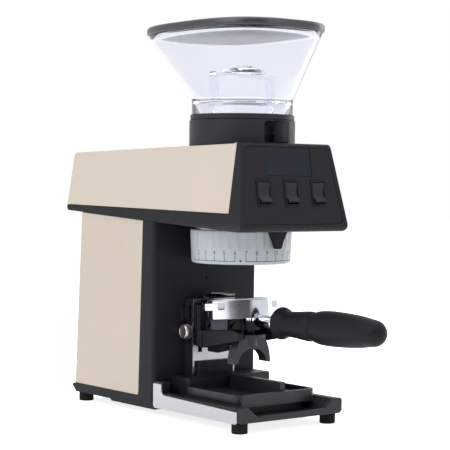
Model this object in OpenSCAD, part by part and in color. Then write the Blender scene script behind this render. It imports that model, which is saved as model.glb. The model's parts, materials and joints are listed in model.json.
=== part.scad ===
// Burr coffee grinder with a fork that holds a portafilter under the grind outlet.
// Millimetres. +Z is up, -Y is the front, X = 0 is the plane of symmetry of the housing.
// The origin is on the floor under the middle of the footprint, with the portafilter in its fork.
// The burrs, the dial, the collar and the hopper neck share one vertical line, the burr axis.

/* [Base] */
// Width over the two bright side bars
base_w = 127.6; // [115:0.1:131]
// Burr axis to the front face of the front bar
base_reach = 77; // [68:0.5:78]
// Height of the rubber feet, which is the underside of the base
foot_h = 9.5; // [7:0.5:14]
// Radius of a rubber foot
foot_r = 7.5; // [6:0.1:9]
// Side line of the feet, measured from the plane of symmetry
foot_x = 53.6; // [48:0.1:54]
// Thickness of the base floor
floor_t = 3.5; // [3:0.1:5]
// Thickness of a bright side bar
bar_t = 1.8; // [1:0.1:2.5]
// Height of the side bars at their front end, above the underside
bar_h = 11.6; // [9:0.1:14]
// Height of the side rails above the underside
rail_h = 15.2; // [13:0.1:18]
// Inner edge of the flat top of a rail, from the plane of symmetry
rail_in = 52.5; // [51:0.1:54]
// Half width of the low middle of the front bar
sill_half = 40.5; // [36:0.5:42]
// Height of the low middle of the front bar above the underside
sill_h = 6; // [5:0.1:7]

/* [Tray] */
// Half width of the drip tray
tray_half = 48; // [44:0.5:49.5]
// Burr axis to the front face of the tray
tray_reach = 57.5; // [50:0.5:60]
// Height of the tray rim above the floor
tray_top = 32.4; // [31:0.1:34]
// Height of the upright walls of the tray above the floor
tray_wall_top = 40.5; // [38:0.1:42]
// Thickness of the dividing wall
divider_t = 5.5; // [3:0.1:7]
// Left face of the dividing wall, from the plane of symmetry
divider_x = 7; // [0:0.5:12]

/* [Column] */
// Burr axis to the front face of the column
column_gap = 54.5; // [54:0.5:62]
// Burr axis to the rear edge of the column at its foot
column_rear = 194; // [186:0.5:200]
// How much further forward the rear edge is at the top of the column
column_lean = 10.7; // [6:0.1:14]
// Thickness of the column walls
column_wall = 3; // [2.2:0.1:4]
// Thickness of the coloured side panels
panel_t = 1.5; // [1:0.1:2]
// Corner radius of the column
column_round = 4; // [2:0.5:6]

/* [Head] */
// Height of the underside of the head over the burr axis
head_low = 186.7; // [184:0.1:190]
// Rise of the underside towards the rear, in degrees
head_rise = 3.05; // [2:0.05:4]
// Height of the top edge of the front face
head_high = 265.4; // [263:0.1:272]
// Burr axis to the lower front edge of the head
head_reach = 80.4; // [78:0.1:88]
// Burr axis to the rear tip of the head
head_rear = 212; // [206:0.5:225]
// Lean of the front face, in degrees
face_lean = 10.15; // [6:0.05:14]
// Half width of the head at its lower edge
head_half = 66.8; // [64:0.1:67]
// Taper of the head sides, in degrees
side_lean = 8.6; // [5:0.1:9]
// Thickness of the black chassis walls
chassis_wall = 2.5; // [2:0.1:3.5]
// Thickness of the coloured hood
hood_wall = 1.8; // [1.2:0.1:2.5]
// Height of the seam between hood and chassis over the burr axis
seam_z = 200.3; // [197:0.1:206]

/* [Controls] */
// Thickness of the front panel
panel_front_t = 3; // [2:0.1:4]
// Half width of the display window
display_half = 27.5; // [22:0.5:30]
// Height of the display window
display_h = 27; // [22:0.5:28]
// Distance between neighbouring switches
switch_pitch = 33; // [26:0.5:36]
// Width of a switch paddle
switch_w = 13; // [10:0.1:15]
// Height of a switch paddle
switch_h = 20.2; // [16:0.1:22]

/* [Burrs and dial] */
// Top radius of the adjustment dial
dial_r = 49; // [47:0.1:50]
// Radius of the adjustment dial at its scale line
dial_low_r = 47.6; // [46:0.1:49]
// Height of the top of the dial
dial_top = 183; // [181:0.1:183.2]
// Height of the dial
dial_h = 32; // [24:0.1:39]
// Outer radius of the burr chamber, which the dial turns on
chamber_r = 43.9; // [42:0.1:44.2]
// Outer radius of the ring burr
ring_r = 31; // [29:0.1:32]
// Radius of the burr shaft
shaft_r = 5; // [4:0.1:5.5]
// Radius of the drive pulley
pulley_r = 29; // [27:0.1:31]
// Radius of the motor pulley
motor_pulley_r = 9; // [8:0.1:12]
// Burr axis to the motor axis
motor_y = 118.5; // [112:0.5:124]
// Radius of the motor housing
motor_r = 42; // [36:0.5:44]
// Height of the motor housing
motor_h = 103; // [80:1:110]

/* [Hopper] */
// Outer radius of the black collar
collar_r = 50.8; // [49:0.1:52]
// Height of the top of the collar
collar_top = 287; // [284:0.5:292]
// Height of the clear neck of the hopper
neck_h = 14.7; // [10:0.1:20]
// Outer radius of the hopper neck
neck_r = 48.6; // [46:0.1:50]
// Half width of the hopper and its lid at the rim
lid_half_w = 67.3; // [67:0.1:80]
// Half depth of the hopper and its lid at the rim
lid_half_d = 89.9; // [80:0.1:100]
// How far the rim sits behind the burr axis
lid_back = 13.5; // [5:0.5:20]
// Height of the underside of the lid
lid_z = 371.2; // [355:0.1:450]
// Thickness of the lid
lid_t = 7.6; // [5:0.1:10]
// Thickness of the clear hopper wall
hopper_wall = 2.2; // [1.6:0.1:3]
// Roundness of the rim outline, 2 is an ellipse
rim_power = 2.94; // [2.2:0.02:4]

/* [Holder] */
// Half width of the holder bracket
bracket_half = 26; // [25:0.1:30]
// Height of the top of the bracket
bracket_top = 113.8; // [110:0.1:114]
// Height of the holder bracket foot
bracket_foot_z = 38.8; // [38.8:0.1:40]
// Radius of the clamp knob
knob_r = 7.45; // [6:0.1:9]
// Length of the clamp knob
knob_len = 8.5; // [6:0.1:12]
// Height of the clamp knob
knob_z = 82; // [80:0.5:84]
// Upward tilt of the fork and the portafilter, in degrees
rest_tilt = 5; // [3:0.5:6]

/* [Portafilter] */
// Outer radius of the portafilter body
filter_r = 31.6; // [26:0.1:32]
// Height of the portafilter body
filter_h = 17.2; // [15:0.1:18]
// Height at which the body rests over the burr axis
seat_z = 97.5; // [96:0.1:98]
// Radius over the two ears
ear_r = 39; // [35:0.1:40]
// Wall thickness of the portafilter body
filter_wall = 2.3; // [2:0.1:3]
// Height of the handle axis
handle_z = 96.8; // [95:0.1:98]
// Burr axis to the front end of the handle
handle_end = 187.5; // [156:0.5:200]
// Burr axis to the collar of the handle
handle_start = 56.8; // [54:0.1:58]
// Turn of the handle towards the right, in degrees
handle_turn = 3; // [0:0.5:8]
// Largest radius of the handle
handle_r = 16; // [14:0.1:17]
// Distance of the spouts in front of the burr axis
spout_reach = 14; // [12:0.5:15]

/* [Hidden] */
$fn = 96;
eps = 0.01;
// Gap between fixed pieces that fit into each other
fit = 0.15;
// Gap between pieces that move past each other
run = 0.4;
// Radial gap of a turning fit
turn = 0.06;

black = [0.16, 0.16, 0.175];
soft_black = [0.10, 0.10, 0.11];
beige = [0.86, 0.81, 0.76];
silver = [0.80, 0.81, 0.83];
chrome = [0.86, 0.87, 0.89];
steel = [0.70, 0.71, 0.73];
clear = [0.85, 0.90, 0.95, 0.35];
board_green = [0.10, 0.36, 0.20];

base_half = base_w / 2;
bar_in = base_half - bar_t;
floor_top = foot_h + floor_t;
rail_top = foot_h + rail_h;
sill_top = foot_h + sill_h;
end_top = rail_top;
foot_front_y = -base_reach + 9.8;
foot_rear_y = column_rear - 6.1;
front_bar_t = 5;
bar_front_y = -base_reach + 1.8;
bar_rear_y = column_gap - 0.1;
bar_step_y = column_gap - 13.5;
bar_step_z = foot_h + 24;
bar_rise = 2.3;

// Underside of the head, its seam and its top as functions of the distance behind the burr axis
function head_under(y) = head_low + y * tan(head_rise);
function seam(y) = seam_z + y * 0.0164;
function hood_top(y) = head_high - 3.2 - y * 0.02;
function face_y(z) = -head_reach + (z - head_under(-head_reach)) * tan(face_lean);
function side_x(z) = head_half - (z - head_under(-head_reach)) * tan(side_lean);
function rear_y(z) = column_rear - (z - foot_h - 8.7) * column_lean / 178;
hood_front = -face_y(head_high) - 6;

handle_tip_r = 12;
front_extent = (handle_end - handle_tip_r) * cos(handle_turn) + handle_tip_r;
axis_y = (front_extent - head_rear) / 2;

module on_axis() { translate([0, axis_y, 0]) children(); }
module along_x(x0, x1) { translate([x0, 0, 0]) rotate([90, 0, 90]) linear_extrude(x1 - x0) children(); }
module along_y(y0, y1) { translate([0, y1, 0]) rotate([90, 0, 0]) linear_extrude(y1 - y0) children(); }
module round_corners(r) { offset(r = r, $fn = 24) offset(delta = -r) children(); }
module tube(r_out, r_in, z0, z1) {
  translate([0, 0, z0]) difference() {
    cylinder(r = r_out, h = z1 - z0);
    translate([0, 0, -eps]) cylinder(r = r_in, h = z1 - z0 + 2 * eps);
  }
}
module block(x0, x1, y0, y1, z0, z1) { translate([x0, y0, z0]) cube([x1 - x0, y1 - y0, z1 - z0]); }
module both_sides() { children(); mirror([1, 0, 0]) children(); }
module sector(r, a0, a1) {
  steps = 8;
  polygon(concat([[0, 0]], [for (i = [0:steps]) let (a = a0 + (a1 - a0) * i / steps) [r * cos(a), r * sin(a)]]));
}

// ---------------------------------------------------------------- base

module rail_profile() {
  edge = 2.5;
  polygon([
    [sill_half - 6, foot_h], [bar_in - fit, foot_h], [bar_in - fit, rail_top - edge],
    [bar_in - fit - edge * 0.3, rail_top - edge * 0.3], [bar_in - fit - edge, rail_top],
    [rail_in, rail_top], [sill_half + floor_t - sill_h + 3.2, floor_top], [sill_half - 6, floor_top]
  ]);
}

module base_frame() {
  color(black) on_axis() difference() {
    union() {
      block(-bar_in + fit, bar_in - fit, -base_reach + front_bar_t + fit, bar_rear_y, foot_h, floor_top);
      both_sides() along_y(-base_reach + front_bar_t + fit, riser_front - fit) rail_profile();
      both_sides() block(rail_in, bar_in - fit, riser_front - fit - eps, bar_rear_y, foot_h, rail_top);
      both_sides() block(rail_in, bar_in - fit, bar_step_y, bar_rear_y, foot_h, bar_step_z + 1.5);
    }
    for (s = [-1, 1]) translate([s * foot_x, foot_front_y, foot_h - eps]) cylinder(r = 2.1, h = 9);
  }
}

module front_outline(half) {
  polygon([
    [-half, foot_h + 3], [-half + 3, foot_h + 0.4], [half - 3, foot_h + 0.4], [half, foot_h + 3],
    [half, end_top - 2], [half - 2, end_top], [rail_in, end_top], [sill_half + 0.4, sill_top],
    [-sill_half - 0.4, sill_top], [-rail_in, end_top], [-half + 2, end_top], [-half, end_top - 2]
  ]);
}

module front_bar() {
  color(black) on_axis() {
    along_y(-base_reach, bar_front_y - fit) front_outline(base_half - 0.2);
    along_y(bar_front_y - fit - eps, -base_reach + front_bar_t) front_outline(bar_in - fit);
  }
}

module side_bar_outline() {
  z1 = foot_h + bar_h;
  z2 = z1 + bar_rise;
  r = 5;
  polygon(concat(
    [[bar_front_y, foot_h + 2], [bar_front_y + 2, foot_h], [bar_rear_y - 2, foot_h], [bar_rear_y, foot_h + 2]],
    [[bar_rear_y, bar_step_z - 1], [bar_rear_y - 1, bar_step_z], [bar_step_y + 1, bar_step_z], [bar_step_y, bar_step_z - 1]],
    [for (a = [0:15:90]) [bar_step_y - r + r * cos(a), z2 + r - r * sin(a)]],
    [[bar_front_y + 1, z1], [bar_front_y, z1 - 1]]
  ));
}

module side_bar() { along_x(bar_in, base_half) side_bar_outline(); }
module side_bar_left() { color(silver) on_axis() mirror([1, 0, 0]) side_bar(); }
module side_bar_right() { color(silver) on_axis() side_bar(); }

riser_front = 27.6;
riser_left = tray_half - 6;
riser_right = base_half - 3;
module base_riser() {
  inner = rail_in - 0.1;
  color(black) on_axis() {
    block(-riser_left, inner, riser_front, column_gap, floor_top, bracket_foot_z);
    block(inner - eps, riser_right, riser_front, bar_step_y - run, rail_top + 0.1, bracket_foot_z);
    block(inner - eps, riser_right, bar_step_y - run - eps, column_gap, bar_step_z + 1.6, bracket_foot_z);
  }
}

foot_places = [[-foot_x, foot_front_y], [foot_x, foot_front_y], [-foot_x, foot_rear_y], [foot_x, foot_rear_y]];
foot_sink = 1.8;
module feet() {
  color(soft_black) on_axis() for (p = foot_places) translate([p[0], p[1], 0]) difference() {
    cylinder(r = foot_r, h = foot_h);
    translate([0, 0, -eps]) cylinder(r = 4, h = foot_sink + 2.4);
    cylinder(r = 2.1, h = foot_h + eps);
  }
}

module foot_screws() {
  color(steel) on_axis() for (p = foot_places) translate([p[0], p[1], foot_sink]) difference() {
    union() {
      cylinder(r = 3.6, h = 2.3);
      cylinder(r = 2, h = foot_h - foot_sink + 8);
    }
    translate([0, 0, -eps]) cylinder(r = 1.6, h = 1.4, $fn = 6);
  }
}

// ---------------------------------------------------------------- drip tray

tray_low = sill_top + 5.5;
tray_floor = tray_top - 4.6;
tray_rear = riser_front - 0.6;
module tray_plan(inset) {
  round_corners(8 - inset / 2)
    polygon([[-tray_half + inset, -tray_reach + inset], [tray_half - inset, -tray_reach + inset],
      [tray_half - inset, tray_rear - inset], [-tray_half + inset, tray_rear - inset]]);
}

module drip_tray() {
  wall = 3;
  color(black) on_axis() {
    difference() {
      union() {
        translate([0, 0, tray_low]) linear_extrude(tray_top - tray_low) tray_plan(0);
        translate([0, 0, floor_top + run]) linear_extrude(tray_low - floor_top - run + eps) tray_plan(9);
      }
      translate([0, 0, tray_floor]) linear_extrude(tray_top) tray_plan(wall);
    }
    block(-tray_half + 6, divider_x + divider_t, tray_rear - wall, tray_rear, tray_floor, tray_wall_top - 1.9);
    block(divider_x, divider_x + divider_t, -tray_reach + 5, tray_rear - wall + eps, tray_floor, tray_wall_top);
  }
}

// ---------------------------------------------------------------- holder bracket

plate_t = 1.5;
shell_deep = 12;
shell_front = column_gap - shell_deep;
plate_y = shell_front - plate_t;
shell_wall = 2;
shell_back = column_gap;
slot_x = 17;
slot_half = 2.4;
stud_y = column_gap - knob_r - run;
stud_r = 1.6;
fork_down = 8;

module bracket_shell() {
  side_in = bracket_half - shell_wall;
  color(black) on_axis() difference() {
    union() {
      block(-bracket_half, bracket_half, shell_front + fit, shell_back, bracket_foot_z, bracket_top);
      block(-bracket_half - 5, -bracket_half + eps, shell_back - 3, shell_back, 92, 106);
    }
    block(-side_in, side_in, shell_front, shell_back - 1.5, bracket_foot_z - eps, bracket_top - 1.8);
    stud_slot();
  }
}

module stud_slot() {
  half = stud_r + 0.5;
  z0 = knob_z - fork_down - 2;
  z1 = bracket_top - 7;
  block(-bracket_half - eps, -bracket_half + shell_wall + eps, stud_y - half, stud_y + half, z0, z1);
  for (z = [z0, z1]) translate([-bracket_half - eps, stud_y, z]) rotate([0, 90, 0])
    cylinder(r = half, h = shell_wall + 2 * eps);
}

module bracket_plate() {
  color(chrome) on_axis() difference() {
    block(-bracket_half, bracket_half, plate_y, plate_y + plate_t, bracket_foot_z, bracket_top);
    for (s = [-1, 1]) block(s * slot_x - slot_half, s * slot_x + slot_half, plate_y - eps, plate_y + plate_t + eps,
      62, bracket_top - 4);
  }
}

module bracket_foot() {
  half = bracket_half - 5;
  color(steel) on_axis() difference() {
    union() {
      block(-half, half, riser_front + 1, plate_y - fit, bracket_foot_z, bracket_foot_z + 2.2);
      block(-half + 0.5, half - 0.5, plate_y - 5, plate_y - fit, bracket_foot_z, bracket_foot_z + 14);
    }
    for (s = [-1, 1]) translate([s * 12, riser_front + 6, bracket_foot_z - eps]) cylinder(r = 2.2, h = 4);
  }
}

module rim_clip() {
  t = 1.6;
  y = column_gap - 9.5;
  z = bracket_top;
  color(chrome) on_axis() along_x(-4.5, 4.5) polygon([
    [y + 8, z], [y + 8, z + t], [y - 1, z + t], [y - 5, z + 6], [y - 28, z + 6.6],
    [y - 31, z + 5.4], [y - 30.4, z + 4.2], [y - 28, z + 5], [y - 4.4, z + 4.4],
    [y, z]
  ]);
}

// ---------------------------------------------------------------- fork

carriage_front = plate_y - 6.4;
carriage_back = plate_y - run;
arm_in = 20;
arm_out = bracket_half;
function arm_top(y) = 86.9 - y * tan(rest_tilt);
module fork_carriage() {
  color(black) on_axis() difference() {
    union() {
      block(-22, 22, carriage_front, carriage_back, 68, 108);
      for (s = [-1, 1]) block(s * slot_x - slot_half + run, s * slot_x + slot_half - run, carriage_back - eps,
        plate_y + plate_t + run + eps, 72, 92);
      block(-bracket_half + shell_wall + run + 0.2, bracket_half - shell_wall - run - 0.2,
        plate_y + plate_t + run, shell_back - 1.5 - run, 70, 94);
      block(-arm_out, arm_out, 26, carriage_front + eps, 68, 84);
    }
    translate([-bracket_half, stud_y, knob_z]) rotate([0, 90, 0]) cylinder(r = stud_r + turn, h = 14);
  }
}

module arm_outline() {
  polygon([[26 - fit, 68], [26 - fit, arm_top(26)], [-19, arm_top(-19)], [-29.5, arm_top(-29.5) - 3.2],
    [-29.5, 79], [23.7, 68]]);
}

module fork_arms() {
  color(black) on_axis() both_sides() along_x(arm_in, arm_out) arm_outline();
}

function pad_top(y) = seat_z - run - y * tan(rest_tilt);
module fork_pads() {
  inner = 17;
  proud = 13;
  color(soft_black) on_axis() both_sides() {
    along_x(inner, arm_out - 2.5) polygon([
      [24, arm_top(24) + 0.1], [24, pad_top(24)], [-24, pad_top(-24)],
      [-28.5, pad_top(-22.5) - 4], [-29.5, arm_top(-29.5) + 0.1], [-19, arm_top(-19) + 0.1]
    ]);
    along_x(arm_in, arm_out) polygon([
      [proud, arm_top(proud) + 0.1], [proud, pad_top(proud)], [-proud, pad_top(-proud)], [-proud, arm_top(-proud) + 0.1]
    ]);
    along_x(inner, arm_in - 0.1) polygon([
      [25.8, arm_top(25.8) + 0.1], [-19, arm_top(-19) + 0.1], [-27, arm_top(-27) + 0.1], [-28, 80], [-7, 79], [-6, 67.7],
      [10, 64], [25.8, 64]
    ]);
  }
}

module clamp_knob() {
  gap = 0.4;
  color(chrome) on_axis() translate([-bracket_half - gap, stud_y, knob_z]) rotate([0, -90, 0]) {
    difference() {
      union() {
        cylinder(r = knob_r - 0.6, h = 1.5);
        translate([0, 0, 1.2]) cylinder(r = knob_r, h = knob_len - 3);
        translate([0, 0, knob_len - 1.8 - eps]) cylinder(r1 = knob_r, r2 = knob_r - 2, h = 1.8);
      }
      for (i = [0:17]) rotate([0, 0, i * 20]) translate([knob_r + 0.45, 0, 1.9]) cylinder(r = 0.8, h = knob_len - 4.4);
    }
    translate([0, 0, -10]) cylinder(r = stud_r, h = 10 + eps);
  }
}

// ---------------------------------------------------------------- portafilter

module tilted() { translate([0, 0, seat_z]) rotate([-rest_tilt, 0, 0]) children(); }
module handle_axis() { translate([0, 0, handle_z]) rotate([0, 0, handle_turn]) rotate([90, 0, 0]) children(); }
outlet_r = 6;
basket_wall = 0.8;
cup_r = filter_r - filter_wall;
basket_out = cup_r - 0.5;
basket_r = basket_out - basket_wall;
module portafilter_body() {
  ear_half = 13;
  color(chrome) on_axis() difference() {
    union() {
      tilted() {
        cylinder(r = filter_r, h = filter_h);
        translate([0, 2 - spout_reach, -12]) cylinder(r1 = 12, r2 = 15.6, h = 12 + eps);
        intersection() {
          block(-ear_r, ear_r, -ear_half, ear_half, filter_h - 8.5, filter_h - 2);
          cylinder(r = ear_r, h = filter_h);
        }
      }
      translate([0, -spout_reach, 77]) cylinder(r = outlet_r, h = 12);
      handle_axis() {
        translate([0, 0, 24]) cylinder(r = 6, h = handle_start - 24);
        translate([0, 0, handle_start - 7]) cylinder(r = 9, h = 6.8);
        translate([0, 0, 30]) cylinder(r = 3.9, h = handle_start + 6);
      }
    }
    tilted() translate([0, 0, 1.6]) cylinder(r = cup_r, h = filter_h);
    translate([0, -spout_reach, 76]) cylinder(r = outlet_r - 1.5, h = 30);
  }
}

module portafilter_basket() {
  depth = 14.5;
  color(steel) on_axis() tilted() translate([0, 0, filter_h]) difference() {
    union() {
      cylinder(r = filter_r - 0.8, h = 1.8);
      translate([0, 0, -depth]) cylinder(r = basket_out, h = depth + eps);
    }
    translate([0, 0, 1 - depth]) cylinder(r = basket_r, h = depth + 2);
  }
}

spout_plate_z = 80.5;
spout_mouth_z = 55.5;
module spout_outline() {
  z = spout_mouth_z;
  polygon(concat(
    [for (p = spout_curve) [-p[0], z + p[1]]],
    [for (i = [len(spout_curve) - 1:-1:0]) [spout_curve[i][0], z + spout_curve[i][1]]]
  ));
}

// Half outline of the spout above its mouth, from the top over the outer side and back along the arch
spout_curve = [
  [14.7, 25.1], [16.7, 21.6], [18.4, 17.7], [19.9, 13.6], [21, 9.2], [21.8, 4.4], [21.8, 0], [16.8, 1], [16.4, 4.2],
  [14.8, 7.3], [12, 10.4], [8, 12.8], [4, 13.8]
];

module portafilter_spout() {
  wall = 1.3;
  half = 5.5;
  color(soft_black) on_axis() translate([0, -spout_reach, 0]) difference() {
    union() {
      translate([0, 0, spout_plate_z]) cylinder(r = 16.4, h = 3);
      translate([0, 0, spout_plate_z - 8.5]) cylinder(r = outlet_r + 2, h = 9);
      along_y(-half, half) spout_outline();
    }
    along_y(wall - half, half - wall) offset(delta = -wall) spout_outline();
    both_sides() block(16.8 + wall, 21.8 - wall, wall - half, half - wall, spout_mouth_z - 1, spout_mouth_z + wall + 1.5);
    translate([0, 0, spout_plate_z - 7]) cylinder(r = outlet_r + fit, h = 12);
  }
}

module handle_profile() {
  length = handle_end - handle_start;
  c = length - handle_tip_r;
  r = handle_r;
  k = length / 130.7;
  polygon(concat(
    [[0, 0], [r * 0.90, 0], [r * 0.955, 1.5], [r * 0.955, 3.5]],
    [[r * 0.83, 8 * k], [r * 0.75, 12 * k], [r * 0.765, 20 * k]],
    [[r * 0.83, 32 * k], [r * 0.87, 39 * k], [r * 0.84, 43 * k], [r * 0.79, 45.5 * k], [r * 0.86, 49 * k], [r * 0.95, 54 * k]],
    [[r * 0.99, 60 * k], [r, 68 * k], [r * 0.99, 78 * k], [r * 0.965, 88 * k], [r * 0.92, 98 * k], [r * 0.87, 109 * k]],
    [for (a = [10:10:90]) [handle_tip_r * cos(a), c + handle_tip_r * sin(a)]]
  ));
}

module portafilter_handle() {
  color(soft_black) on_axis() handle_axis() translate([0, 0, handle_start]) difference() {
    rotate_extrude() handle_profile();
    translate([0, 0, -eps]) cylinder(r = 3.95, h = 38);
  }
}

// ---------------------------------------------------------------- column

column_half = base_half;
column_top_gap = 0.2;
cavity_half = column_half - column_wall - panel_t;
module column_outline() {
  polygon([
    [column_gap, foot_h], [column_rear - 2, foot_h], [column_rear + 5, foot_h + 6], [column_rear + 5, foot_h + 7.4],
    [rear_y(foot_h + 9), foot_h + 9], [rear_y(196), head_under(rear_y(196)) - column_top_gap],
    [column_gap, head_under(column_gap) - column_top_gap]
  ]);
}

module column_plan() {
  round_corners(column_round)
    polygon([[-column_half, column_gap], [column_half, column_gap], [column_half, column_rear + 20],
      [-column_half, column_rear + 20]]);
}

// Outline of a coloured side panel, grown by g on every side
module side_panel_outline(g) {
  low = foot_h + 9 - g;
  top = 320;
  round_corners(3)
    polygon([[column_gap + 24.8 - g, low], [column_rear + 30, low], [column_rear + 30, top], [column_gap + 15 - g, top]]);
}

module column_cavity() {
  w = column_wall;
  along_x(-cavity_half, cavity_half) polygon([
    [column_gap + w, foot_h + w], [column_rear - 3, foot_h + w], [rear_y(foot_h + 9) - w, foot_h + 9],
    [rear_y(196) - w, 230], [column_gap + w, 230]
  ]);
}

cover_half = 56;
cover_t = 2;
cover_z0 = foot_h + 18;
cover_z1 = 186;
module cover_outline(g, front, back) {
  polygon([[rear_y(cover_z0 - g) - front, cover_z0 - g], [rear_y(cover_z0 - g) - back, cover_z0 - g],
    [rear_y(cover_z1 + g) - back, cover_z1 + g], [rear_y(cover_z1 + g) - front, cover_z1 + g]]);
}

skirt_half = column_half - 4;
skirt_drop = 3;
module column_shell() {
  color(black) on_axis() difference() {
    union() {
      intersection() {
        along_x(-column_half, column_half) column_outline();
        linear_extrude(260) column_plan();
      }
      along_x(-skirt_half, skirt_half) polygon([
        [column_gap + 1, foot_h + eps], [column_gap + 3, foot_h - skirt_drop], [column_rear - 62, foot_h - skirt_drop],
        [column_rear - 58, foot_h + eps]
      ]);
    }
    both_sides() along_x(column_half - panel_t - 0.1, column_half + 1) side_panel_outline(0);
    column_cavity();
    along_x(-cover_half - fit, cover_half + fit) cover_outline(fit, cover_t + 0.2, -6);
    block(-cover_half + 5, cover_half - 5, column_rear - 30, column_rear + 8, cover_z0 + 5, cover_z1 - 5);
    translate([0, column_gap - eps, screw_z]) rotate([-90, 0, 0]) cylinder(r = 3.3, h = 1.8);
    translate([0, column_gap - eps, screw_z]) rotate([-90, 0, 0]) cylinder(r = 1.7, h = 12);
    for (s = [-1, 1]) translate([s * foot_x, foot_rear_y, foot_h - eps]) cylinder(r = 2.1, h = 9);
  }
}

module side_panel() {
  intersection() {
    along_x(column_half - panel_t, column_half) side_panel_outline(-fit);
    along_x(0, column_half) offset(delta = -fit) column_outline();
    linear_extrude(260) column_plan();
  }
}

module column_panel_left() { color(beige) on_axis() mirror([1, 0, 0]) side_panel(); }
module column_panel_right() { color(beige) on_axis() side_panel(); }

screw_z = 133.5;
module column_screw() {
  color(steel) on_axis() translate([0, column_gap + 0.3, screw_z]) rotate([-90, 0, 0]) difference() {
    union() {
      cylinder(r = 3.1, h = 1.4);
      cylinder(r = 1.6, h = 8);
    }
    translate([0, 0, -eps]) cylinder(r = 1.5, h = 1, $fn = 6);
  }
}

inlet_z = foot_h + 40;
inlet_half = 13.8;
inlet_h = 9.9;
module rear_cover() {
  slots = 9;
  color(black) on_axis() difference() {
    along_x(-cover_half, cover_half) cover_outline(0, cover_t, 0);
    block(-inlet_half - fit, inlet_half + fit, column_rear - 20, column_rear + 5, inlet_z - inlet_h - fit,
      inlet_z + inlet_h + fit);
    for (i = [0:slots - 1]) block(-32, 32, column_rear - 30, column_rear + 5, 100 + i * 8, 103 + i * 8);
  }
}

module power_inlet() {
  y = rear_y(inlet_z);
  depth = 18;
  color(soft_black) on_axis() difference() {
    union() {
      block(-inlet_half, inlet_half, y - depth, y + 1.4, inlet_z - inlet_h, inlet_z + inlet_h);
      block(-inlet_half - 2, inlet_half + 2, y + 0.9, y + 3, inlet_z - inlet_h - 2, inlet_z + inlet_h + 2);
    }
    block(-12, 12, y - depth + 2, y + 4, inlet_z - 7.8, inlet_z + 7.8);
  }
  color(steel) on_axis() for (x = [-7, 0, 7])
    block(x - 1, x + 1, y - depth + 2 - eps, y - 2, inlet_z - 2 + (x == 0 ? 2.5 : -1), inlet_z + 2 + (x == 0 ? 2.5 : -1));
}

module power_board() {
  z = foot_h + column_wall + 8;
  color(board_green) on_axis() {
    block(-48, 48, 66, 160, z, z + 1.6);
    for (x = [-42, 42], y = [72, 154]) translate([x, y, foot_h + column_wall]) cylinder(r = 3, h = 8 + eps);
    translate([-20, 96, z + 1.5]) cylinder(r = 9, h = 22);
    block(4, 38, 84, 112, z + 1.5, z + 20);
    block(-38, 6, 124, 146, z + 1.5, z + 12);
    block(16, 40, 124, 150, z + 1.5, z + 24);
  }
}

// ---------------------------------------------------------------- motor

mount_t = 4;
mount_z = head_under(column_gap) - 10;
motor_top = mount_z;
motor_low = motor_top - motor_h;
belt_z = 234;
module motor_housing() {
  wall = 3;
  color(steel) on_axis() translate([0, motor_y, 0]) difference() {
    translate([0, 0, motor_low]) cylinder(r = motor_r, h = motor_h);
    translate([0, 0, motor_low + wall]) cylinder(r = motor_r - wall, h = motor_h - 2 * wall);
    translate([0, 0, motor_low - eps]) cylinder(r = shaft_r + turn, h = motor_h + 2 * eps);
  }
}

module motor_rotor() {
  color(steel) on_axis() translate([0, motor_y, 0]) {
    translate([0, 0, motor_low - 4]) cylinder(r = shaft_r, h = belt_z + 12 - motor_low + 4);
    translate([0, 0, motor_low + 12]) cylinder(r = motor_r - 22, h = motor_h - 24);
  }
}

module motor_pulley() {
  color(steel) on_axis() translate([0, motor_y, 0]) difference() {
    union() {
      translate([0, 0, belt_z - 1]) cylinder(r = motor_pulley_r, h = 10);
      for (z = [belt_z - 2, belt_z + 8.6]) translate([0, 0, z]) cylinder(r = motor_pulley_r + 2, h = 1.4);
      translate([0, 0, belt_z - 8]) cylinder(r = motor_pulley_r - 1, h = 8);
    }
    translate([0, 0, belt_z - 9]) cylinder(r = shaft_r + 0.02, h = 22);
  }
}

module motor_mount() {
  color(steel) on_axis() difference() {
    block(-cavity_half, cavity_half, column_gap + column_wall, column_rear - 22, mount_z, mount_z + mount_t);
    translate([0, motor_y, mount_z - 1]) cylinder(r = 14, h = mount_t + 2);
    for (a = [45:90:315]) translate([30 * cos(a), motor_y + 30 * sin(a), mount_z - 1]) cylinder(r = 2.7, h = mount_t + 2);
  }
}

module motor_bolts() {
  color(steel) on_axis() for (a = [45:90:315]) translate([30 * cos(a), motor_y + 30 * sin(a), mount_z]) {
    cylinder(r = 2.5, h = mount_t + eps);
    translate([0, 0, mount_t]) cylinder(r = 4.5, h = 3, $fn = 6);
  }
}

// ---------------------------------------------------------------- head

module head_side_outline() {
  round_corners(5) polygon([
    [-head_reach - 0.4, head_under(-head_reach - 0.4)], [head_rear - 3.6, head_under(head_rear - 3.6)],
    [head_rear, head_under(head_rear) + 1.6],
    [head_rear, seam(head_rear) - 0.6], [head_rear - 0.6, hood_top(head_rear)],
    [face_y(hood_top(-hood_front)) + 10, hood_top(-hood_front)], [face_y(head_high) + 3, head_high], [face_y(head_high), head_high]
  ]);
}

module head_front_outline() {
  z0 = head_under(-head_reach) - 2;
  intersection() {
    round_corners(9) polygon([[-side_x(z0), z0], [side_x(z0), z0], [side_x(300), 300], [-side_x(300), 300]]);
    polygon([[-90, 150], [90, 150], [90, head_high + 2], [-90, head_high + 2]]);
  }
}

module head_block(inset) {
  intersection() {
    along_x(-90, 90) offset(delta = -inset) head_side_outline();
    along_y(-head_reach - 10, head_rear + 10) offset(delta = -inset) head_front_outline();
  }
}

// Everything behind the front bezel and above the seam, grown by g
module hood_region(g) {
  far = head_rear + 20;
  along_x(-90, 90) polygon([
    [-hood_front - 1.6 - g, seam(-hood_front) - g], [far, seam(far) - g], [far, 300], [-hood_front - g, 300]
  ]);
}

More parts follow.
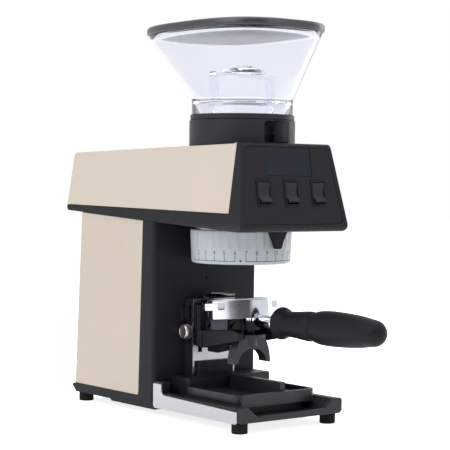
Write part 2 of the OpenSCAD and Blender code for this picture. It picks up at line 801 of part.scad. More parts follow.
module on_face() {
  translate([0, face_y(head_high), head_high]) rotate([90 - face_lean, 0, 0]) children();
}

face_len = (head_high - head_under(-head_reach)) / cos(face_lean);
module face_outline(inset) {
  top = side_x(head_high) - inset;
  low = side_x(head_under(-head_reach)) - inset;
  round_corners(6) polygon([[-top, -inset], [top, -inset], [low - 1, -face_len + inset + 3], [-low + 1, -face_len + inset + 3]]);
}

panel_inset = 4.5;
module head_chassis() {
  color(black) on_axis() difference() {
    head_block(0);
    hood_region(0);
    head_block(chassis_wall);
    on_face() translate([0, 0, -8]) linear_extrude(12) face_outline(panel_inset - fit);
    translate([0, 0, 150]) cylinder(r = chamber_r + 0.5, h = 60);
    block(-46, 46, motor_y - 46, motor_y + 46, 170, 210);
  }
}

module head_cover() {
  color(beige) on_axis() difference() {
    intersection() {
      head_block(0);
      hood_region(-0.2);
    }
    head_block(hood_wall);
    translate([0, 0, 230]) cylinder(r = collar_r + 0.3, h = 60);
  }
}

display_top = -4.5;
switch_top = -37.4;
module front_panel() {
  color(black) on_axis() on_face() translate([0, 0, -panel_front_t]) difference() {
    linear_extrude(panel_front_t) face_outline(panel_inset);
    translate([-display_half - fit, display_top - display_h - fit, -1]) cube([2 * (display_half + fit), display_h + 2 * fit, 8]);
    for (i = [-1:1]) switch_hole(i * switch_pitch);
  }
}

sleeve_wall = 1;
sleeve_gap = 0.35;
module switch_hole(x) {
  w = switch_w / 2 + sleeve_gap + sleeve_wall + fit;
  translate([x - w, switch_top - switch_h - sleeve_gap - sleeve_wall - fit, -1])
    cube([2 * w, switch_h + 2 * (sleeve_gap + sleeve_wall + fit), 8]);
}

module display_window() {
  color([0.19, 0.21, 0.25]) on_axis() on_face()
    translate([-display_half, display_top - display_h, -2.4]) cube([2 * display_half, display_h, 1.8]);
}

module display_board() {
  color(board_green) on_axis() on_face() {
    translate([-31, display_top - display_h - 1, -10]) cube([62, display_h + 2, 1.6]);
    translate([-25, display_top - display_h + 2, -8.5]) cube([50, display_h - 4, 5]);
    for (x = [-29.2, 29.2], y = [display_top - 2, display_top - display_h + 2])
      translate([x, y, -8.5]) cylinder(r = 1.5, h = 8.5 - panel_front_t);
  }
}

pivot_r = 0.9;
pivot_drop = 3.2;
pivot_deep = 5;
module switch_frame(x) {
  w = switch_w / 2 + sleeve_gap;
  h = switch_h + 2 * sleeve_gap;
  translate([x, switch_top + sleeve_gap, 0]) difference() {
    union() {
      translate([-w - sleeve_wall, -h - sleeve_wall, -9]) cube([2 * (w + sleeve_wall), h + 2 * sleeve_wall, 9.4]);
      translate([-w - 1.9, -h - 1.9, 0.05]) cube([2 * (w + 1.9), h + 3.8, 0.8]);
    }
    translate([-w, -h, -10]) cube([2 * w, h, 12]);
    translate([-w - 3, -sleeve_gap - pivot_drop, -pivot_deep]) rotate([0, 90, 0]) cylinder(r = pivot_r + turn, h = 2 * w + 6);
  }
}

module switch_frames() {
  color(soft_black) on_axis() on_face() for (i = [-1:1]) switch_frame(i * switch_pitch);
}

module switch_paddle(i) {
  half = switch_w / 2;
  d = pivot_drop;
  color(black) on_axis() on_face() translate([i * switch_pitch, switch_top, 0]) {
    along_x(-half, half) polygon([
      [-0.2, -4], [-0.2, 0.6], [-2, 1.2], [-6, 0.2], [-11, -0.3], [-14, 0.6], [2.8 - switch_h, 3.0],
      [2.1 - switch_h, 3.3], [1.6 - switch_h, 2.6], [1 - switch_h, 1], [0.4 - switch_h, -1],
      [-switch_h, -3], [-14, -3.5], [-d - 2, -d - 3.4], [-d + 1.6, -d - 3.4]
    ]);
    translate([-half - sleeve_gap - sleeve_wall + 0.1, -d, -pivot_deep]) rotate([0, 90, 0])
      cylinder(r = pivot_r, h = switch_w + 2 * (sleeve_gap + sleeve_wall) - 0.2);
  }
}

module switch_left() { switch_paddle(-1); }
module switch_centre() { switch_paddle(0); }
module switch_right() { switch_paddle(1); }

module dial_pointer() {
  top = head_low + 4;
  color(soft_black) on_axis() difference() {
    along_y(-57.8, -dial_r - 2.2) polygon([
      [-11, top], [-10.5, 183.4], [-8, 180], [-4.6, 173], [-3, 168], [-1.6, 166.2], [1.6, 166.2], [3, 168], [4.6, 173],
      [8, 180], [10.5, 183.4], [11, top]
    ]);
    along_x(-20, 20) polygon([[-90, head_under(-90) - 0.05], [0, head_under(0) - 0.05], [0, 230], [-90, 230]]);
  }
}

// ---------------------------------------------------------------- dial and burrs

module adjustment_dial() {
  low = dial_top - dial_h;
  inner = chamber_r + turn;
  color([0.80, 0.83, 0.85]) on_axis() rotate_extrude() polygon([
    [inner, low + 0.4], [dial_low_r - 2.4, low], [dial_low_r - 1, low + 0.6], [dial_low_r - 0.3, low + 2],
    [dial_low_r, low + 4], [dial_r, dial_top - 1], [dial_r - 0.6, dial_top], [inner, dial_top]
  ]);
}

chamber_low = dial_top - dial_h + 4;
chamber_in = chamber_r - 5.5;
chamber_top = 228;
flange_z = chassis_wall / cos(head_rise) + 0.02;
module burr_chamber() {
  color(steel) on_axis() {
    tube(chamber_r, chamber_in, chamber_low, chamber_top);
    difference() {
      tube(chamber_r + 8, chamber_r - eps, head_low - 4, head_low + 9);
      along_x(-90, 90) polygon([
        [-90, head_under(-90) + flange_z], [90, head_under(90) + flange_z], [90, 120], [-90, 120]
      ]);
    }
  }
}

carrier_z = 184;
module burr_carrier() { color(silver) on_axis() tube(chamber_in - run, ring_r + 0.02, carrier_z, carrier_z + 24); }

burr_z = carrier_z + 2;
burr_h = 20;
module ring_burr() {
  slots = 12;
  color(steel) on_axis() translate([0, 0, burr_z]) difference() {
    cylinder(r = ring_r, h = burr_h);
    translate([0, 0, -eps]) cylinder(r1 = ring_r - 9, r2 = ring_r - 3, h = burr_h + 2 * eps);
    for (i = [0:slots - 1]) rotate([0, 0, i * 360 / slots]) translate([ring_r - 6, -0.8, burr_h / 2]) cube([4, 1.6, burr_h]);
  }
}

module cone_burr() {
  slots = 12;
  color(steel) on_axis() translate([0, 0, burr_z + 1]) difference() {
    cylinder(r1 = ring_r - 9.7, r2 = ring_r - 17, h = burr_h + 1);
    translate([0, 0, -eps]) cylinder(r = shaft_r + 0.02, h = burr_h + 2);
    for (i = [0:slots - 1]) rotate([0, 0, i * 360 / slots + 8]) translate([ring_r - 17.5, -0.8, 6]) cube([8, 1.6, burr_h]);
  }
}

module burr_shaft() {
  color(steel) on_axis() {
    translate([0, 0, burr_z - 3]) cylinder(r = shaft_r, h = belt_z + 12 - burr_z + 3);
    translate([0, 0, burr_z - 8]) cylinder(r = 9, h = 8.9, $fn = 6);
  }
}

bearing_r = 11;
hub_z0 = 213;
module bearing_spider() {
  color(silver) on_axis() difference() {
    union() {
      tube(chamber_in - 0.1, chamber_in - 4, hub_z0 + 2, chamber_top - 1);
      tube(bearing_r + 3, bearing_r + 0.02, hub_z0, chamber_top - 1);
      for (i = [0:2]) rotate([0, 0, 90 + i * 120]) block(bearing_r + 1, chamber_in - 2, -3.5, 3.5, hub_z0 + 4, chamber_top - 3);
    }
  }
}

module shaft_bearings() {
  color(chrome) on_axis() for (z = [hub_z0 + 0.5, hub_z0 + 7.5]) tube(bearing_r, shaft_r + turn, z, z + 6);
}

module drive_pulley() {
  color(silver) on_axis() difference() {
    union() {
      tube(pulley_r, pulley_r - 3.5, belt_z - 1, belt_z + 9);
      for (z = [belt_z - 2, belt_z + 8.6]) tube(pulley_r + 1.8, pulley_r - 3.5, z, z + 1.4);
      tube(9, shaft_r + 0.02, belt_z - 5, belt_z + 9);
      for (i = [0:2]) rotate([0, 0, i * 120]) block(8, pulley_r - 3, -2.5, 2.5, belt_z, belt_z + 7);
    }
  }
}

// Outline of an open belt round two pulleys a distance d apart along Y
module belt_outline(r1, r2, d) {
  a = acos((r1 - r2) / d);
  polygon(concat(
    [for (i = [0:24]) let (t = 90 + a + (360 - 2 * a) * i / 24) [r1 * cos(t), r1 * sin(t)]],
    [for (i = [0:12]) let (t = 90 - a + 2 * a * i / 12) [r2 * cos(t), d + r2 * sin(t)]]
  ));
}

module drive_belt() {
  gap = 0.5;
  t = 1.6;
  color(soft_black) on_axis() translate([0, 0, belt_z + 0.6]) linear_extrude(6.8) difference() {
    belt_outline(pulley_r + gap + t, motor_pulley_r + gap + t, motor_y);
    belt_outline(pulley_r + gap, motor_pulley_r + gap, motor_y);
  }
}

module grounds_chute() {
  low = dial_top - dial_h - 1;
  top = chamber_low + 12;
  outer = chamber_in - 0.1;
  color(soft_black) on_axis() rotate_extrude() polygon([
    [24, low], [27, low], [outer, chamber_low + 1], [outer, top], [outer - 2, top], [outer - 2, chamber_low + 3],
    [24, low + 3]
  ]);
}

tube_top = 273;
module feed_tube() {
  r = collar_r - collar_wall - 0.1;
  low = belt_z + 12;
  color(soft_black) on_axis() {
    rotate_extrude() polygon([
      [pulley_r - 6, low], [pulley_r - 4, low], [r, tube_top - 8], [r, tube_top], [r - 2, tube_top], [r - 2, tube_top - 7]
    ]);
    difference() {
      translate([0, 0, tube_top - 2.5]) cylinder(r = r - 1, h = 2.5);
      gate_windows(-90 + gate_open, tube_top - 4);
    }
  }
}

// ---------------------------------------------------------------- collar and hopper

lever_turn = 6;
collar_wall = 8;
gate_count = 6;
gate_span = 22;
gate_open = 30 + lever_turn + 8.5;
slot_z0 = collar_top - 21.5;
slot_z1 = collar_top - 1.6;
module bean_collar() {
  bottom = hood_top(0) - 14;
  color(soft_black) on_axis() difference() {
    tube(collar_r, collar_r - collar_wall, bottom, collar_top);
    translate([0, 0, slot_z0]) linear_extrude(slot_z1 - slot_z0) sector(70, -104.5, -69.5);
  }
}

module gate_windows(a, z) {
  for (i = [0:gate_count - 1]) rotate([0, 0, a + i * 360 / gate_count]) translate([0, 0, z]) linear_extrude(8) difference() {
    sector(collar_r - 13, -gate_span / 2, gate_span / 2);
    circle(r = 10);
  }
}

module bean_gate() {
  r = collar_r - collar_wall - run;
  z = tube_top + run;
  a = -90 + lever_turn;
  color(soft_black) on_axis() difference() {
    union() {
      translate([0, 0, z]) cylinder(r = r, h = 2.5);
      translate([0, 0, z + 2]) cylinder(r = 7, h = 3);
      rotate([0, 0, a]) {
        block(r - 6, collar_r + 2, -4, 4, z, z + 2.5);
        block(collar_r - 5, collar_r + 7, -4, 4, slot_z0 + 0.6, slot_z1 - 0.6);
      }
    }
    gate_windows(a + 30, z - 2);
  }
}

ring_h = 5.1;
ring_gap = 0.3;
neck_z = collar_top + ring_gap + ring_h;
flare_z = neck_z + neck_h;
module hopper_ring() {
  color(soft_black) on_axis() tube(neck_r + 1.3, neck_r - 7, collar_top + ring_gap, neck_z);
}

// Rim outline of the hopper, drawn in by inset
function sgn_pow(v, p) = sign(v) * pow(abs(v), p);
module rim_outline(inset) {
  steps = 72;
  a = lid_half_w - inset;
  b = lid_half_d - inset;
  polygon([for (i = [0:steps - 1]) let (t = i * 360 / steps)
    [a * sgn_pow(cos(t), 2 / rim_power), lid_back + b * sgn_pow(sin(t), 2 / rim_power)]]);
}

module flare(inset, extra) {
  hull() {
    translate([0, 0, flare_z - extra]) linear_extrude(0.1) circle(r = neck_r - inset, $fn = 48);
    translate([0, 0, lid_z - 0.4 + extra - 0.1]) linear_extrude(0.1) rim_outline(1.5 + inset);
  }
}

module hopper() {
  color(clear) on_axis() {
    difference() {
      flare(0, 0);
      flare(hopper_wall, 0.3);
    }
    tube(neck_r, neck_r - hopper_wall, neck_z, flare_z + 0.05);
    tube(neck_r - hopper_wall + eps, 30, neck_z + 10, neck_z + 12.4);
  }
}

guard_z = neck_z + 12.4;
module finger_guard() {
  half = 36;
  top = guard_z + 28;
  color(clear) on_axis() {
    block(-half, half, -5, 5, top - 3.5, top);
    both_sides() block(half - 3.5, half, -5, 5, guard_z + 0.05, top - 3);
    translate([0, 0, top - eps]) cylinder(r1 = 22, r2 = 19, h = 4);
    translate([0, 0, top + 3.9]) cylinder(r1 = 19, r2 = 9, h = 3.6);
  }
}

module hopper_lid() {
  color([0.24, 0.235, 0.26]) on_axis() {
    translate([0, 0, lid_z]) linear_extrude(lid_t - 1.4) rim_outline(0);
    translate([0, 0, lid_z + lid_t - 1.4 - eps]) linear_extrude(1.4) rim_outline(2.5);
    translate([0, 0, lid_z - 2.5]) linear_extrude(2.5 + eps) rim_outline(1.5 + hopper_wall + 3);
  }
}

base_frame();
front_bar();
side_bar_left();
side_bar_right();
base_riser();
feet();
foot_screws();
drip_tray();
bracket_shell();
bracket_plate();
bracket_foot();
rim_clip();
fork_carriage();
fork_arms();
fork_pads();
clamp_knob();
portafilter_body();
portafilter_basket();
portafilter_spout();
portafilter_handle();
column_shell();
column_panel_left();
column_panel_right();
column_screw();
rear_cover();
power_inlet();
power_board();
motor_housing();
motor_rotor();
motor_pulley();
motor_mount();
motor_bolts();
head_chassis();
head_cover();
front_panel();
display_window();
display_board();
switch_frames();
switch_left();
switch_centre();
switch_right();
dial_pointer();
adjustment_dial();
burr_chamber();
burr_carrier();
ring_burr();
cone_burr();
burr_shaft();
shaft_bearings();
bearing_spider();
drive_pulley();
drive_belt();
grounds_chute();
feed_tube();
bean_collar();
bean_gate();
hopper_ring();
hopper();
finger_guard();
hopper_lid();
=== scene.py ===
"""Looks of the burr coffee grinder: finishes, softened and detailed pieces, studio and camera.

Everything is in metres, in the frame of the solids. +Z is up and -Y is the front.
"""

import json
import logging
import math
from dataclasses import dataclass, field
from enum import Enum
from functools import lru_cache
from typing import Callable, ClassVar, Iterable, Sequence

import bmesh
import bpy
from mathutils import Matrix, Vector


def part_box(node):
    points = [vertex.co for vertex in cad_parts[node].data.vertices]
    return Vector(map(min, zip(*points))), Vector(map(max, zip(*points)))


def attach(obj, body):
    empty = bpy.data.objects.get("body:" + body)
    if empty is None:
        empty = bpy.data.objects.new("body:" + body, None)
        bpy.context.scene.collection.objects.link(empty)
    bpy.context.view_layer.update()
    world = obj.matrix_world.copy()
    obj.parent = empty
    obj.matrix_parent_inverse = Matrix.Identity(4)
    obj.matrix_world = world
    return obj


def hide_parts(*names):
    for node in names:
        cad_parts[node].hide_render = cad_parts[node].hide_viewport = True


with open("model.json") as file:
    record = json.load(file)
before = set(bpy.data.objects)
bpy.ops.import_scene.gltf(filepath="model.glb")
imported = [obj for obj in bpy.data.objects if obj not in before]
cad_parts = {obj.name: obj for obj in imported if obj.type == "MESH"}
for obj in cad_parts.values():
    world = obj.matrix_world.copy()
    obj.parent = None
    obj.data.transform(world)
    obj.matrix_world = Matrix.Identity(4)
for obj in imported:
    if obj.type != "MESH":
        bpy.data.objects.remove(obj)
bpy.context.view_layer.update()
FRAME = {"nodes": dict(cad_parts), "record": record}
LOG = logging.getLogger("grinder")

MM = 0.001
BODY_OF: dict[str, str] = {
    node: body for body, nodes in FRAME["record"]["behaviour"]["bodies"].items() for node in nodes
}

# Points nearer to each other than this become one
WELD = 4e-6
FINE_WELD = 2e-6

# Radius that stands for a point on a turning axis
ON_AXIS = 1e-6

# Edges sharper than this many degrees look sharp and are rounded; flatter than the second, they go
SHARP_ANGLE = 32.0
FLAT_ANGLE = 0.6

# Font size for a digit of height 1, and steps along each curve of a digit
SIZE_PER_DIGIT = 1.4
LETTER_STEPS = 3

Colour = tuple[float, float, float]
Point = tuple[float, float]
Rings = Sequence[Sequence[Vector]]
Socket = bpy.types.NodeSocket


def linear(red: float, green: float, blue: float) -> tuple[float, float, float, float]:
    """Turns a display colour of 0 to 255 per channel into a linear one, by the sRGB curve.

    Args:
        red: Red, 0 to 255.
        green: Green, 0 to 255.
        blue: Blue, 0 to 255.

    Returns:
        Linear red, green, blue and an alpha of 1.
    """
    out = []
    for value in (red, green, blue):
        c = value / 255
        out.append(c / 12.92 if c <= 0.04045 else ((c + 0.055) / 1.055) ** 2.4)
    return out[0], out[1], out[2], 1.0


@lru_cache(maxsize=None)
def box(node: str) -> tuple[Vector, Vector]:
    """Lowest and highest corner of a solid, looked up once."""
    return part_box(node)


def burr_axis_y() -> float:
    """Y of the line that the dial, the burrs and the hopper neck share."""
    low, high = box("adjustment_dial")
    return (low.y + high.y) / 2


AXIS_Y = burr_axis_y()


# ---------------------------------------------------------------- finishes


class GrainRun(Enum):
    """Direction in which a brushed metal was brushed."""

    ALONG_X = (60.0, 3600.0, 3600.0)
    ALONG_Y = (3600.0, 60.0, 3600.0)


class NodeBench:
    """Small helper that adds and joins shader nodes of one material."""

    MIX_FACTOR = 0
    MIX_FIRST = 6
    MIX_SECOND = 7
    MIX_RESULT = 2

    def __init__(self, name: str) -> None:
        """Starts a material with a principled shader.

        Args:
            name: Name of the material.
        """
        self.material = bpy.data.materials.new(name)
        self.material.use_nodes = True
        self.tree = self.material.node_tree
        self.shader = self.tree.nodes["Principled BSDF"]

    def add(self, kind: str, **settings: object) -> bpy.types.Node:
        """Adds a node.

        Args:
            kind: Blender's name of the node type.
            **settings: Values for the node's properties, or for its inputs by name with _ for a space.

        Returns:
            The new node.
        """
        node = self.tree.nodes.new(kind)
        for key, value in settings.items():
            if hasattr(node, key):
                setattr(node, key, value)
            else:
                node.inputs[key.replace("_", " ")].default_value = value
        return node

    def set(self, **inputs: float | Sequence[float]) -> None:
        """Sets inputs of the shader, by name with _ for a space."""
        for key, value in inputs.items():
            self.shader.inputs[key.replace("_", " ")].default_value = value

    def join(self, source: Socket, target: Socket) -> None:
        """Links one socket to another."""
        self.tree.links.new(source, target)

    def noise(self, scale: float, detail: float = 2.0, stretch: Sequence[float] | None = None) -> Socket:
        """Adds a noise texture in object space.

        Args:
            scale: Features per metre.
            detail: Octaves of the noise.
            stretch: Features per metre along X, Y and Z, in place of one scale.

        Returns:
            The noise's value socket.
        """
        where = self.add("ShaderNodeTexCoord").outputs["Object"]
        if stretch is not None:
            mapping = self.add("ShaderNodeMapping")
            mapping.inputs["Scale"].default_value = stretch
            self.join(where, mapping.inputs["Vector"])
            where = mapping.outputs["Vector"]
            scale = 1.0
        texture = self.add("ShaderNodeTexNoise", Scale=scale, Detail=detail)
        self.join(where, texture.inputs["Vector"])
        return texture.outputs["Fac"]

    def ramp(self, value: Socket, low: float, high: float, start: float = 0.3, stop: float = 0.7) -> Socket:
        """Maps a noise value from start..stop to low..high.

        Args:
            value: Noise value socket.
            low: Result where the value is at start or less.
            high: Result where the value is at stop or more.
            start: Value where the mapping starts.
            stop: Value where the mapping stops.

        Returns:
            The mapped value's socket.
        """
        node = self.add("ShaderNodeMapRange")
        for key, number in zip(("From Min", "From Max", "To Min", "To Max"), (start, stop, low, high)):
            node.inputs[key].default_value = number
        self.join(value, node.inputs["Value"])
        return node.outputs["Result"]

    def tint(
        self,
        value: Socket,
        first: Sequence[float],
        second: Sequence[float],
        start: float = 0.3,
        stop: float = 0.7,
    ) -> None:
        """Lets a noise value mix the base colour from two colours.

        Args:
            value: Noise value socket.
            first: Colour where the value is at start or less.
            second: Colour where the value is at stop or more.
            start: Value where the mixing starts.
            stop: Value where the mixing stops.
        """
        mix = self.add("ShaderNodeMix", data_type="RGBA")
        mix.inputs[self.MIX_FIRST].default_value = first
        mix.inputs[self.MIX_SECOND].default_value = second
        self.join(self.ramp(value, 0, 1, start, stop), mix.inputs[self.MIX_FACTOR])
        self.join(mix.outputs[self.MIX_RESULT], self.shader.inputs["Base Color"])

    def roughen(self, value: Socket, low: float, high: float) -> None:
        """Lets a noise value vary the roughness from low to high."""
        self.join(self.ramp(value, low, high), self.shader.inputs["Roughness"])

    def bump(self, height: Socket, strength: float, distance: float) -> None:
        """Feeds a height into the shader's normal.

        Args:
            height: Height socket.
            strength: Bump strength, 0 to 1.
            distance: Height of the bump in metres.
        """
        node = self.add("ShaderNodeBump", Strength=strength, Distance=distance)
        self.join(height, node.inputs["Height"])
        self.join(node.outputs["Normal"], self.shader.inputs["Normal"])


@dataclass(frozen=True)
class Finish:
    """A named surface finish. Its material is made once and shared."""

    name: str
    rgb: Colour

    def shade(self, bench: NodeBench) -> None:
        """Sets up the shader. Each kind of finish has its own."""
        raise NotImplementedError

    def material(self) -> bpy.types.Material:
        """The finish's material, made on first use.

        Returns:
            The material.
        """
        known = bpy.data.materials.get("finish_" + self.name)
        if known is not None:
            return known
        bench = NodeBench("finish_" + self.name)
        self.shade(bench)
        return bench.material

    def paler(self, factor: float) -> tuple[float, float, float, float]:
        """The finish's colour, lighter or darker by a factor."""
        r, g, b, a = linear(*self.rgb)
        return min(r * factor, 1.0), min(g * factor, 1.0), min(b * factor, 1.0), a


@dataclass(frozen=True)
class MouldedPlastic(Finish):
    """Moulded plastic or soft coating with a fine spark-eroded grain."""

    roughness: float = 0.45
    grain: float = 2600.0
    grain_depth: float = 0.25
    grain_height: float = 0.06 * MM
    mottling: float = 0.06
    mottling_scale: float = 38.0
    sheen_scale: float = 140.0
    smoother: float = 0.04
    rougher: float = 0.05
    specular: float = 0.12

    def shade(self, bench: NodeBench) -> None:
        """Grain in the normal, faint cloudiness in colour and roughness.

        Args:
            bench: The bench that the material is made on.
        """
        cloud = bench.noise(self.mottling_scale, detail=4.0)
        bench.tint(cloud, self.paler(1 - self.mottling), self.paler(1 + self.mottling))
        sheen = bench.noise(self.sheen_scale, detail=5.0)
        bench.roughen(sheen, self.roughness - self.smoother, self.roughness + self.rougher)
        bench.set(Specular_IOR_Level=self.specular)
        bench.bump(bench.noise(self.grain, detail=3.0), self.grain_depth, self.grain_height)


@dataclass(frozen=True)
class PaintedSheet(Finish):
    """Coated sheet metal with a slight orange-peel surface."""

    roughness: float = 0.42
    cloud_scale: float = 14.0
    sheen_scale: float = 90.0
    peel_scale: float = 900.0
    peel_depth: float = 0.12
    peel_height: float = 0.05 * MM
    darkest: float = 0.975
    palest: float = 1.02
    smoother: float = 0.03
    rougher: float = 0.04
    coat: float = 0.12
    coat_roughness: float = 0.35

    def shade(self, bench: NodeBench) -> None:
        """Orange peel in the normal under a thin satin coat.

        Args:
            bench: The bench that the material is made on.
        """
        cloud = bench.noise(self.cloud_scale, detail=3.0)
        bench.tint(cloud, self.paler(self.darkest), self.paler(self.palest))
        sheen = bench.noise(self.sheen_scale, detail=4.0)
        bench.roughen(sheen, self.roughness - self.smoother, self.roughness + self.rougher)
        bench.set(Coat_Weight=self.coat, Coat_Roughness=self.coat_roughness)
        bench.bump(bench.noise(self.peel_scale, detail=2.0), self.peel_depth, self.peel_height)


@dataclass(frozen=True)
class BrushedMetal(Finish):
    """Metal with fine parallel brushing marks."""

    roughness: float = 0.3
    run: GrainRun = GrainRun.ALONG_Y
    mark_depth: float = 0.12
    mark_height: float = 0.04 * MM
    darkest: float = 0.9
    palest: float = 1.05
    smoother: float = 0.06
    rougher: float = 0.08
    anisotropy: float = 0.4

    def shade(self, bench: NodeBench) -> None:
        """Stretched noise in roughness, colour and normal.

        Args:
            bench: The bench that the material is made on.
        """
        lines = bench.noise(1.0, detail=3.0, stretch=self.run.value)
        bench.tint(lines, self.paler(self.darkest), self.paler(self.palest))
        bench.roughen(lines, self.roughness - self.smoother, self.roughness + self.rougher)
        bench.set(Metallic=1.0, Anisotropic=self.anisotropy)
        bench.bump(lines, self.mark_depth, self.mark_height)


@dataclass(frozen=True)
class PolishedMetal(Finish):
    """Plated or polished metal with faint handling marks."""

    roughness: float = 0.07
    smudge: float = 0.06
    smudge_scale: float = 70.0
    wave_scale: float = 160.0
    wave_depth: float = 0.04
    wave_height: float = 0.06 * MM
    darkest: float = 0.96
    palest: float = 1.02

    def shade(self, bench: NodeBench) -> None:
        """Faint smudges in roughness, a hint of waviness in the normal.

        Args:
            bench: The bench that the material is made on.
        """
        haze = bench.noise(self.smudge_scale, detail=5.0)
        bench.tint(haze, self.paler(self.darkest), self.paler(self.palest))
        bench.roughen(haze, self.roughness, self.roughness + self.smudge)
        bench.set(Metallic=1.0)
        bench.bump(bench.noise(self.wave_scale, detail=1.0), self.wave_depth, self.wave_height)


@dataclass(frozen=True)
class ClearMoulding(Finish):
    """Clear moulded plastic of the hopper."""

    roughness: float = 0.03
    index: float = 1.45
    haze_scale: float = 60.0
    flow_scale: float = 45.0
    flow_depth: float = 0.05
    flow_height: float = 0.1 * MM
    rougher: float = 0.03

    def shade(self, bench: NodeBench) -> None:
        """Transmission with faint flow lines of the moulding.

        Args:
            bench: The bench that the material is made on.
        """
        bench.set(Base_Color=self.paler(1.0), Transmission_Weight=1.0, IOR=self.index)
        haze = bench.noise(self.haze_scale, detail=3.0)
        bench.roughen(haze, self.roughness, self.roughness + self.rougher)
        bench.bump(bench.noise(self.flow_scale, detail=1.0), self.flow_depth, self.flow_height)


@dataclass(frozen=True)
class DarkGlass(Finish):
    """Dark glossy glass or smoked plastic."""

    roughness: float = 0.08
    coat: float = 0.6
    coat_roughness: float = 0.04
    specular: float = 0.5
    dust_scale: float = 420.0
    dusty: float = 1.25
    rougher: float = 0.08

    def shade(self, bench: NodeBench) -> None:
        """Deep colour under a clear coat, with faint dust.

        Args:
            bench: The bench that the material is made on.
        """
        dust = bench.noise(self.dust_scale, detail=6.0)
        bench.tint(dust, self.paler(1.0), self.paler(self.dusty), start=0.55, stop=0.85)
        bench.roughen(dust, self.roughness, self.roughness + self.rougher)
        bench.set(Specular_IOR_Level=self.specular)
        bench.set(Coat_Weight=self.coat, Coat_Roughness=self.coat_roughness)


@dataclass(frozen=True)
class Print(Finish):
    """Printed marking ink."""

    roughness: float = 0.6
    speck_scale: float = 5000.0
    darkest: float = 0.85
    palest: float = 1.1

    def shade(self, bench: NodeBench) -> None:
        """Slightly uneven matt ink.

        Args:
            bench: The bench that the material is made on.
        """
        speck = bench.noise(self.speck_scale, detail=2.0)
        bench.tint(speck, self.paler(self.darkest), self.paler(self.palest))
        bench.set(Roughness=self.roughness)


@dataclass(frozen=True)
class StudioPaper(Finish):
    """White paper sweep that is lit from behind, so that it has no horizon."""

    glow: float = 0.8
    roughness: float = 0.9
    fibre_scale: float = 260.0
    fibre_depth: float = 0.05
    fibre_height: float = 0.1 * MM
    darkest: float = 0.985

    def shade(self, bench: NodeBench) -> None:
        """Matt white with a weak glow and a faint fibre grain.

        Args:
            bench: The bench that the material is made on.
        """
        fibre = bench.noise(self.fibre_scale, detail=4.0)
        bench.tint(fibre, self.paler(self.darkest), self.paler(1.0))
        bench.set(Roughness=self.roughness, Specular_IOR_Level=0.0)
        bench.set(Emission_Color=(1.0, 1.0, 1.0, 1.0), Emission_Strength=self.glow)
        bench.bump(fibre, self.fibre_depth, self.fibre_height)


@dataclass(frozen=True)
class Lacquer(Finish):
    """Green lacquer of a circuit board with etched tracks under it."""

    roughness: float = 0.3
    track_scale: float = 160.0
    between_tracks: float = 0.8
    track_edge: float = 1.7

    def shade(self, bench: NodeBench) -> None:
        """A brick pattern of tracks under the lacquer.

        Args:
            bench: The bench that the material is made on.
        """
        where = bench.add("ShaderNodeTexCoord").outputs["Object"]
        tracks = bench.add("ShaderNodeTexBrick", Scale=self.track_scale)
        for name, factor in (("Color1", 1.0), ("Color2", self.between_tracks), ("Mortar", self.track_edge)):
            tracks.inputs[name].default_value = self.paler(factor)
        bench.join(where, tracks.inputs["Vector"])
        bench.join(tracks.outputs["Color"], bench.shader.inputs["Base Color"])
        bench.set(Roughness=self.roughness)


SATIN_BLACK = MouldedPlastic("satin_black", (31, 30, 34), roughness=0.46, grain=3000, grain_depth=0.22)
BASE_BLACK = MouldedPlastic(
    "base_black", (26, 27, 30), roughness=0.4, grain=3000, grain_depth=0.2, specular=0.3
)
TRAY_BLACK = MouldedPlastic(
    "tray_black", (28, 29, 32), roughness=0.36, grain=3000, grain_depth=0.18, specular=0.4
)
COLUMN_BLACK = MouldedPlastic("column_black", (28, 29, 33), roughness=0.5, grain=3200, grain_depth=0.25)
GRIP_BLACK = MouldedPlastic("grip_black", (23, 24, 27), roughness=0.5, grain=2200, grain_depth=0.4)
SPOUT_BLACK = MouldedPlastic(
    "spout_black", (38, 41, 46), roughness=0.3, grain=2600, grain_depth=0.12, specular=0.3
)
RUBBER_BLACK = MouldedPlastic("rubber_black", (20, 20, 22), roughness=0.75, grain=1600, grain_depth=0.5)
PAD_GREY = MouldedPlastic("pad_grey", (62, 64, 72), roughness=0.6, grain=1600, grain_depth=0.4)
COLLAR_BLACK = MouldedPlastic("collar_black", (40, 43, 48), roughness=0.42, grain=2600, grain_depth=0.25)
SWITCH_BLACK = MouldedPlastic(
    "switch_black", (27, 27, 30), roughness=0.3, grain=2600, grain_depth=0.12, specular=0.25
)
DIAL_GREY = MouldedPlastic(
    "dial_grey", (160, 166, 171), roughness=0.38, grain=1800, grain_depth=0.15, mottling=0.02, specular=0.35
)
BEIGE_HOOD = PaintedSheet("beige_hood", (185, 174, 162))
BEIGE_PANEL = PaintedSheet("beige_panel", (176, 165, 152), roughness=0.48)
BAR_BRUSHED = BrushedMetal("bar_brushed", (166, 168, 172), roughness=0.24, run=GrainRun.ALONG_Y)
STEEL_BRUSHED = BrushedMetal("steel_brushed", (196, 198, 202), roughness=0.3, run=GrainRun.ALONG_X)
CLIP_STEEL = BrushedMetal("clip_steel", (226, 227, 230), roughness=0.42, run=GrainRun.ALONG_Y)
ALLOY_TURNED = BrushedMetal("alloy_turned", (188, 190, 193), roughness=0.34, run=GrainRun.ALONG_X)
CHROME = PolishedMetal("chrome", (218, 221, 226), roughness=0.1)
PLATE_BRIGHT = PolishedMetal("plate_bright", (150, 150, 153), roughness=0.16, smudge=0.1)
KNOB_STEEL = PolishedMetal("knob_steel", (206, 200, 192), roughness=0.28, smudge=0.1)
# Black oxide of the column screw, and painted shade on the portafilter's outlet under its floor
BLACKENED_AND_SHADE = PolishedMetal("blackened_steel_and_shade", (34, 34, 37), roughness=0.32, smudge=0.1)
CLEAR = ClearMoulding("clear_hopper", (243, 245, 251))
SMOKE = DarkGlass("smoke_lid", (44, 45, 50), roughness=0.3, coat=0.08)
